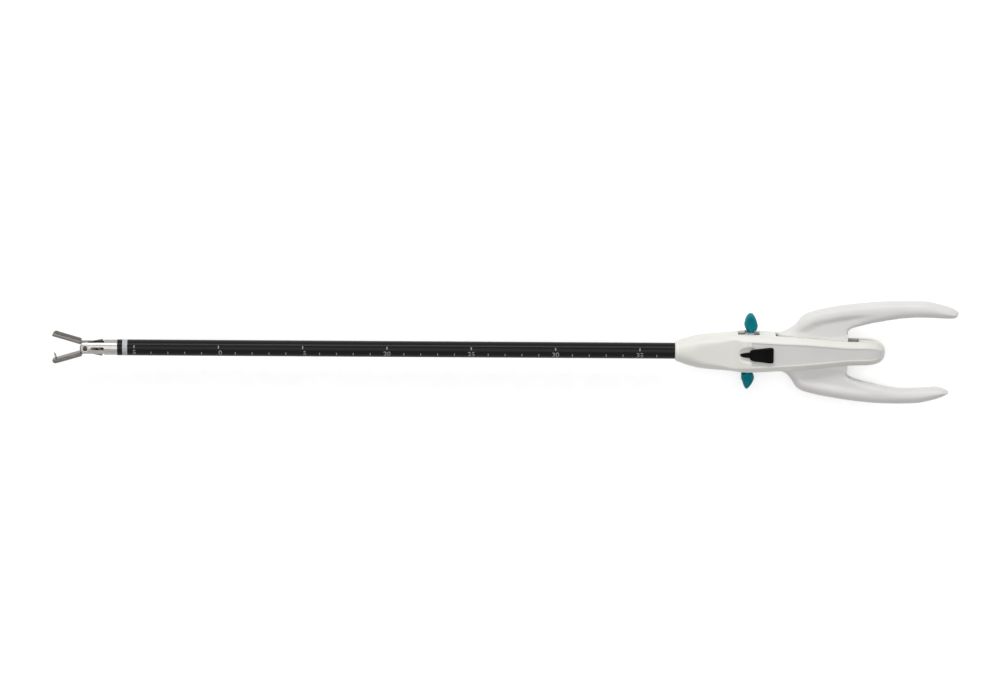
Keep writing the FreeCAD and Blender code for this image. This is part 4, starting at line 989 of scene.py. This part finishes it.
def make_button():
    """The button's cap and its tongue, two pieces that ride together."""
    rows = []
    for i in range(BUTTON_STEPS + 1):
        along = BUTTON_SPAN[0] + (BUTTON_SPAN[1] - BUTTON_SPAN[0]) * i / BUTTON_STEPS
        rib = sum(RIB_HEIGHT * max(0.0, 1 - ((along - at) / RIB_HALF) ** 2) for at in RIBS)
        rows.append(button_row(along, BUTTON_HALF(along), BUTTON_TOP(along) + rib, THUMB_HOLLOW))
    rows = [at_foot(rows[0])] + rows + [at_foot(rows[-1])]
    button = grid_object("load_button_moulded", rows)
    tongue = grid_object("load_button_tongue", [button_row(*station) for station in TONGUE])
    for piece in (button, tongue):
        shade(piece, 40)
        piece.data.materials.append(abs_black)
        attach(piece, "button")
    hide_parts("load_button")
    return button


button = make_button()
print("button:", len(button.data.polygons), "faces")

# %% [markdown]
# ## The jaw pivot's head
# The jaws turn on a pin whose riveted head shows on both sides of the clevis as a dark
# brown disc in a bright countersunk ring. Both are turned parts, so a profile of
# (radius, height) points is spun round the pin's axis.

# %% Pivot head and ring
PIVOT_X = -350.0
HEAD = [(0.0, 4.72), (0.7, 4.71), (1.15, 4.66), (1.42, 4.56), (1.5, 4.4), (1.5, 4.1)]
RING = [(1.52, 4.15), (1.55, 4.5), (1.7, 4.6), (2.05, 4.62), (2.35, 4.5), (2.45, 4.3),
        (2.4, 3.6)]
TURN_STEPS = 40


def spin(name, profile, facing, finish):
    """A turned part on the pivot's axis from (radius, height) points."""
    turn = [math.tau * i / TURN_STEPS for i in range(TURN_STEPS + 1)]
    rows = [[(PIVOT_X + radius * math.cos(a), radius * math.sin(a), height * facing) for a in turn]
            for radius, height in profile]
    part = grid_object(name, rows)
    shade(part, 40)
    part.data.materials.append(finish)
    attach(part, "frame")


for face, facing in (("front", 1), ("back", -1)):
    spin("pivot_head_" + face, HEAD, facing, steel_pin)
    spin("pivot_ring_" + face, RING, facing, steel_clevis)
print("pivot heads: 2, rings: 2")

# %% [markdown]
# ## Depth marks on the shaft
# A pad printer rolls pale ink onto the tube: a tick every centimetre from the closed jaw
# tip, and every fifth one with its number. The ink is real geometry, 0.02 mm above the
# tube, made from flat text and strips that are then wrapped round its radius. Its colour
# is a little patchy over 0.3 mm, as printing on a curved tube is.

# %% Printing ink
INK_PATCH = 0.3 * MM

ink, tree = start_material("printing_ink_grey")
place = add_node(tree, "TexCoord").outputs["Object"]
patchy = add_node(tree, "TexNoise", {"Vector": place, "Scale": 1 / INK_PATCH, "Detail": 3.0})
colour = add_node(tree, "ValToRGB", {"Fac": patchy.outputs["Fac"]})
set_ramp(colour, [(0.35, "#8E8F92"), (0.65, "#A4A5A8")])
skin = add_node(tree, "BsdfPrincipled", {"Base Color": colour.outputs["Color"], "Roughness": 0.5,
                                         "IOR": 1.48})
add_node(tree, "OutputMaterial", {"Surface": skin.outputs[0]})
print("ink:", ink.name)

# %% [markdown]
# The plain ticks sit low on the front. At every fifth one the tick stands above the axis
# and its number below it. All marks are gathered in one mesh, as one pass of the printer.

# %% Wrap the marks round the tube
TUBE_RADIUS = 4.8
INK_HEIGHT = 0.02
JAW_TIP = -370.9
CENTIMETRE = 10.0
FIFTH_SPAN, FIFTH_HALF = (0.6, 2.3), 0.32
TICK_SPAN, TICK_HALF = (-3.4, -1.6), 0.25
STRIP_STEPS = 10
NUMBER_SIZE = 4.4
NUMBER_BOLDER = 0.04
NUMBER_FOOT = 3.6


def strip(low_x, high_x, low_y, high_y):
    """A flat rectangle as rows of points, fine enough to bend round the tube."""
    levels = [low_y + (high_y - low_y) * i / STRIP_STEPS for i in range(STRIP_STEPS + 1)]
    return [[(low_x, y), (high_x, y)] for y in levels]


def wrap(x, y):
    """A flat mark's point on the tube: y becomes an arc length round it."""
    angle = y / TUBE_RADIUS
    radius = TUBE_RADIUS + INK_HEIGHT
    return Vector((x, radius * math.sin(angle), radius * math.cos(angle))) * MM


def number_outline(text, x):
    """The mesh of a printed number, flat, upright across the tube and centred on x."""
    curve = bpy.data.curves.new("number", "FONT")
    curve.body = text
    curve.size = NUMBER_SIZE
    curve.align_x = "CENTER"
    curve.offset = NUMBER_BOLDER
    holder = add_object("number", curve)
    bpy.context.view_layer.update()
    flat = bpy.data.meshes.new_from_object(holder)
    bpy.data.objects.remove(holder)
    points = [(v.co.x + x, v.co.y - NUMBER_FOOT) for v in flat.vertices]
    return points, [tuple(p.vertices) for p in flat.polygons]


marks = bmesh.new()
printed = []
for centimetre in range(5, 37):
    x = JAW_TIP + CENTIMETRE * centimetre
    fifth = centimetre % 5 == 0
    span, half = (FIFTH_SPAN, FIFTH_HALF) if fifth else (TICK_SPAN, TICK_HALF)
    grid = [[marks.verts.new(wrap(*p)) for p in row] for row in strip(x - half, x + half, *span)]
    for low, high in zip(grid, grid[1:]):
        marks.faces.new((low[0], low[1], high[1], high[0]))
    if fifth:
        points, faces = number_outline(str(centimetre), x)
        made = [marks.verts.new(wrap(*p)) for p in points]
        for face in faces:
            marks.faces.new([made[i] for i in face])
        printed.append(centimetre)
marks_mesh = bpy.data.meshes.new("depth_marks")
marks.to_mesh(marks_mesh)
marks.free()
depth_marks = add_object("depth_marks", marks_mesh)
depth_marks.data.materials.append(ink)
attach(depth_marks, "frame")
print("numbers printed:", printed)
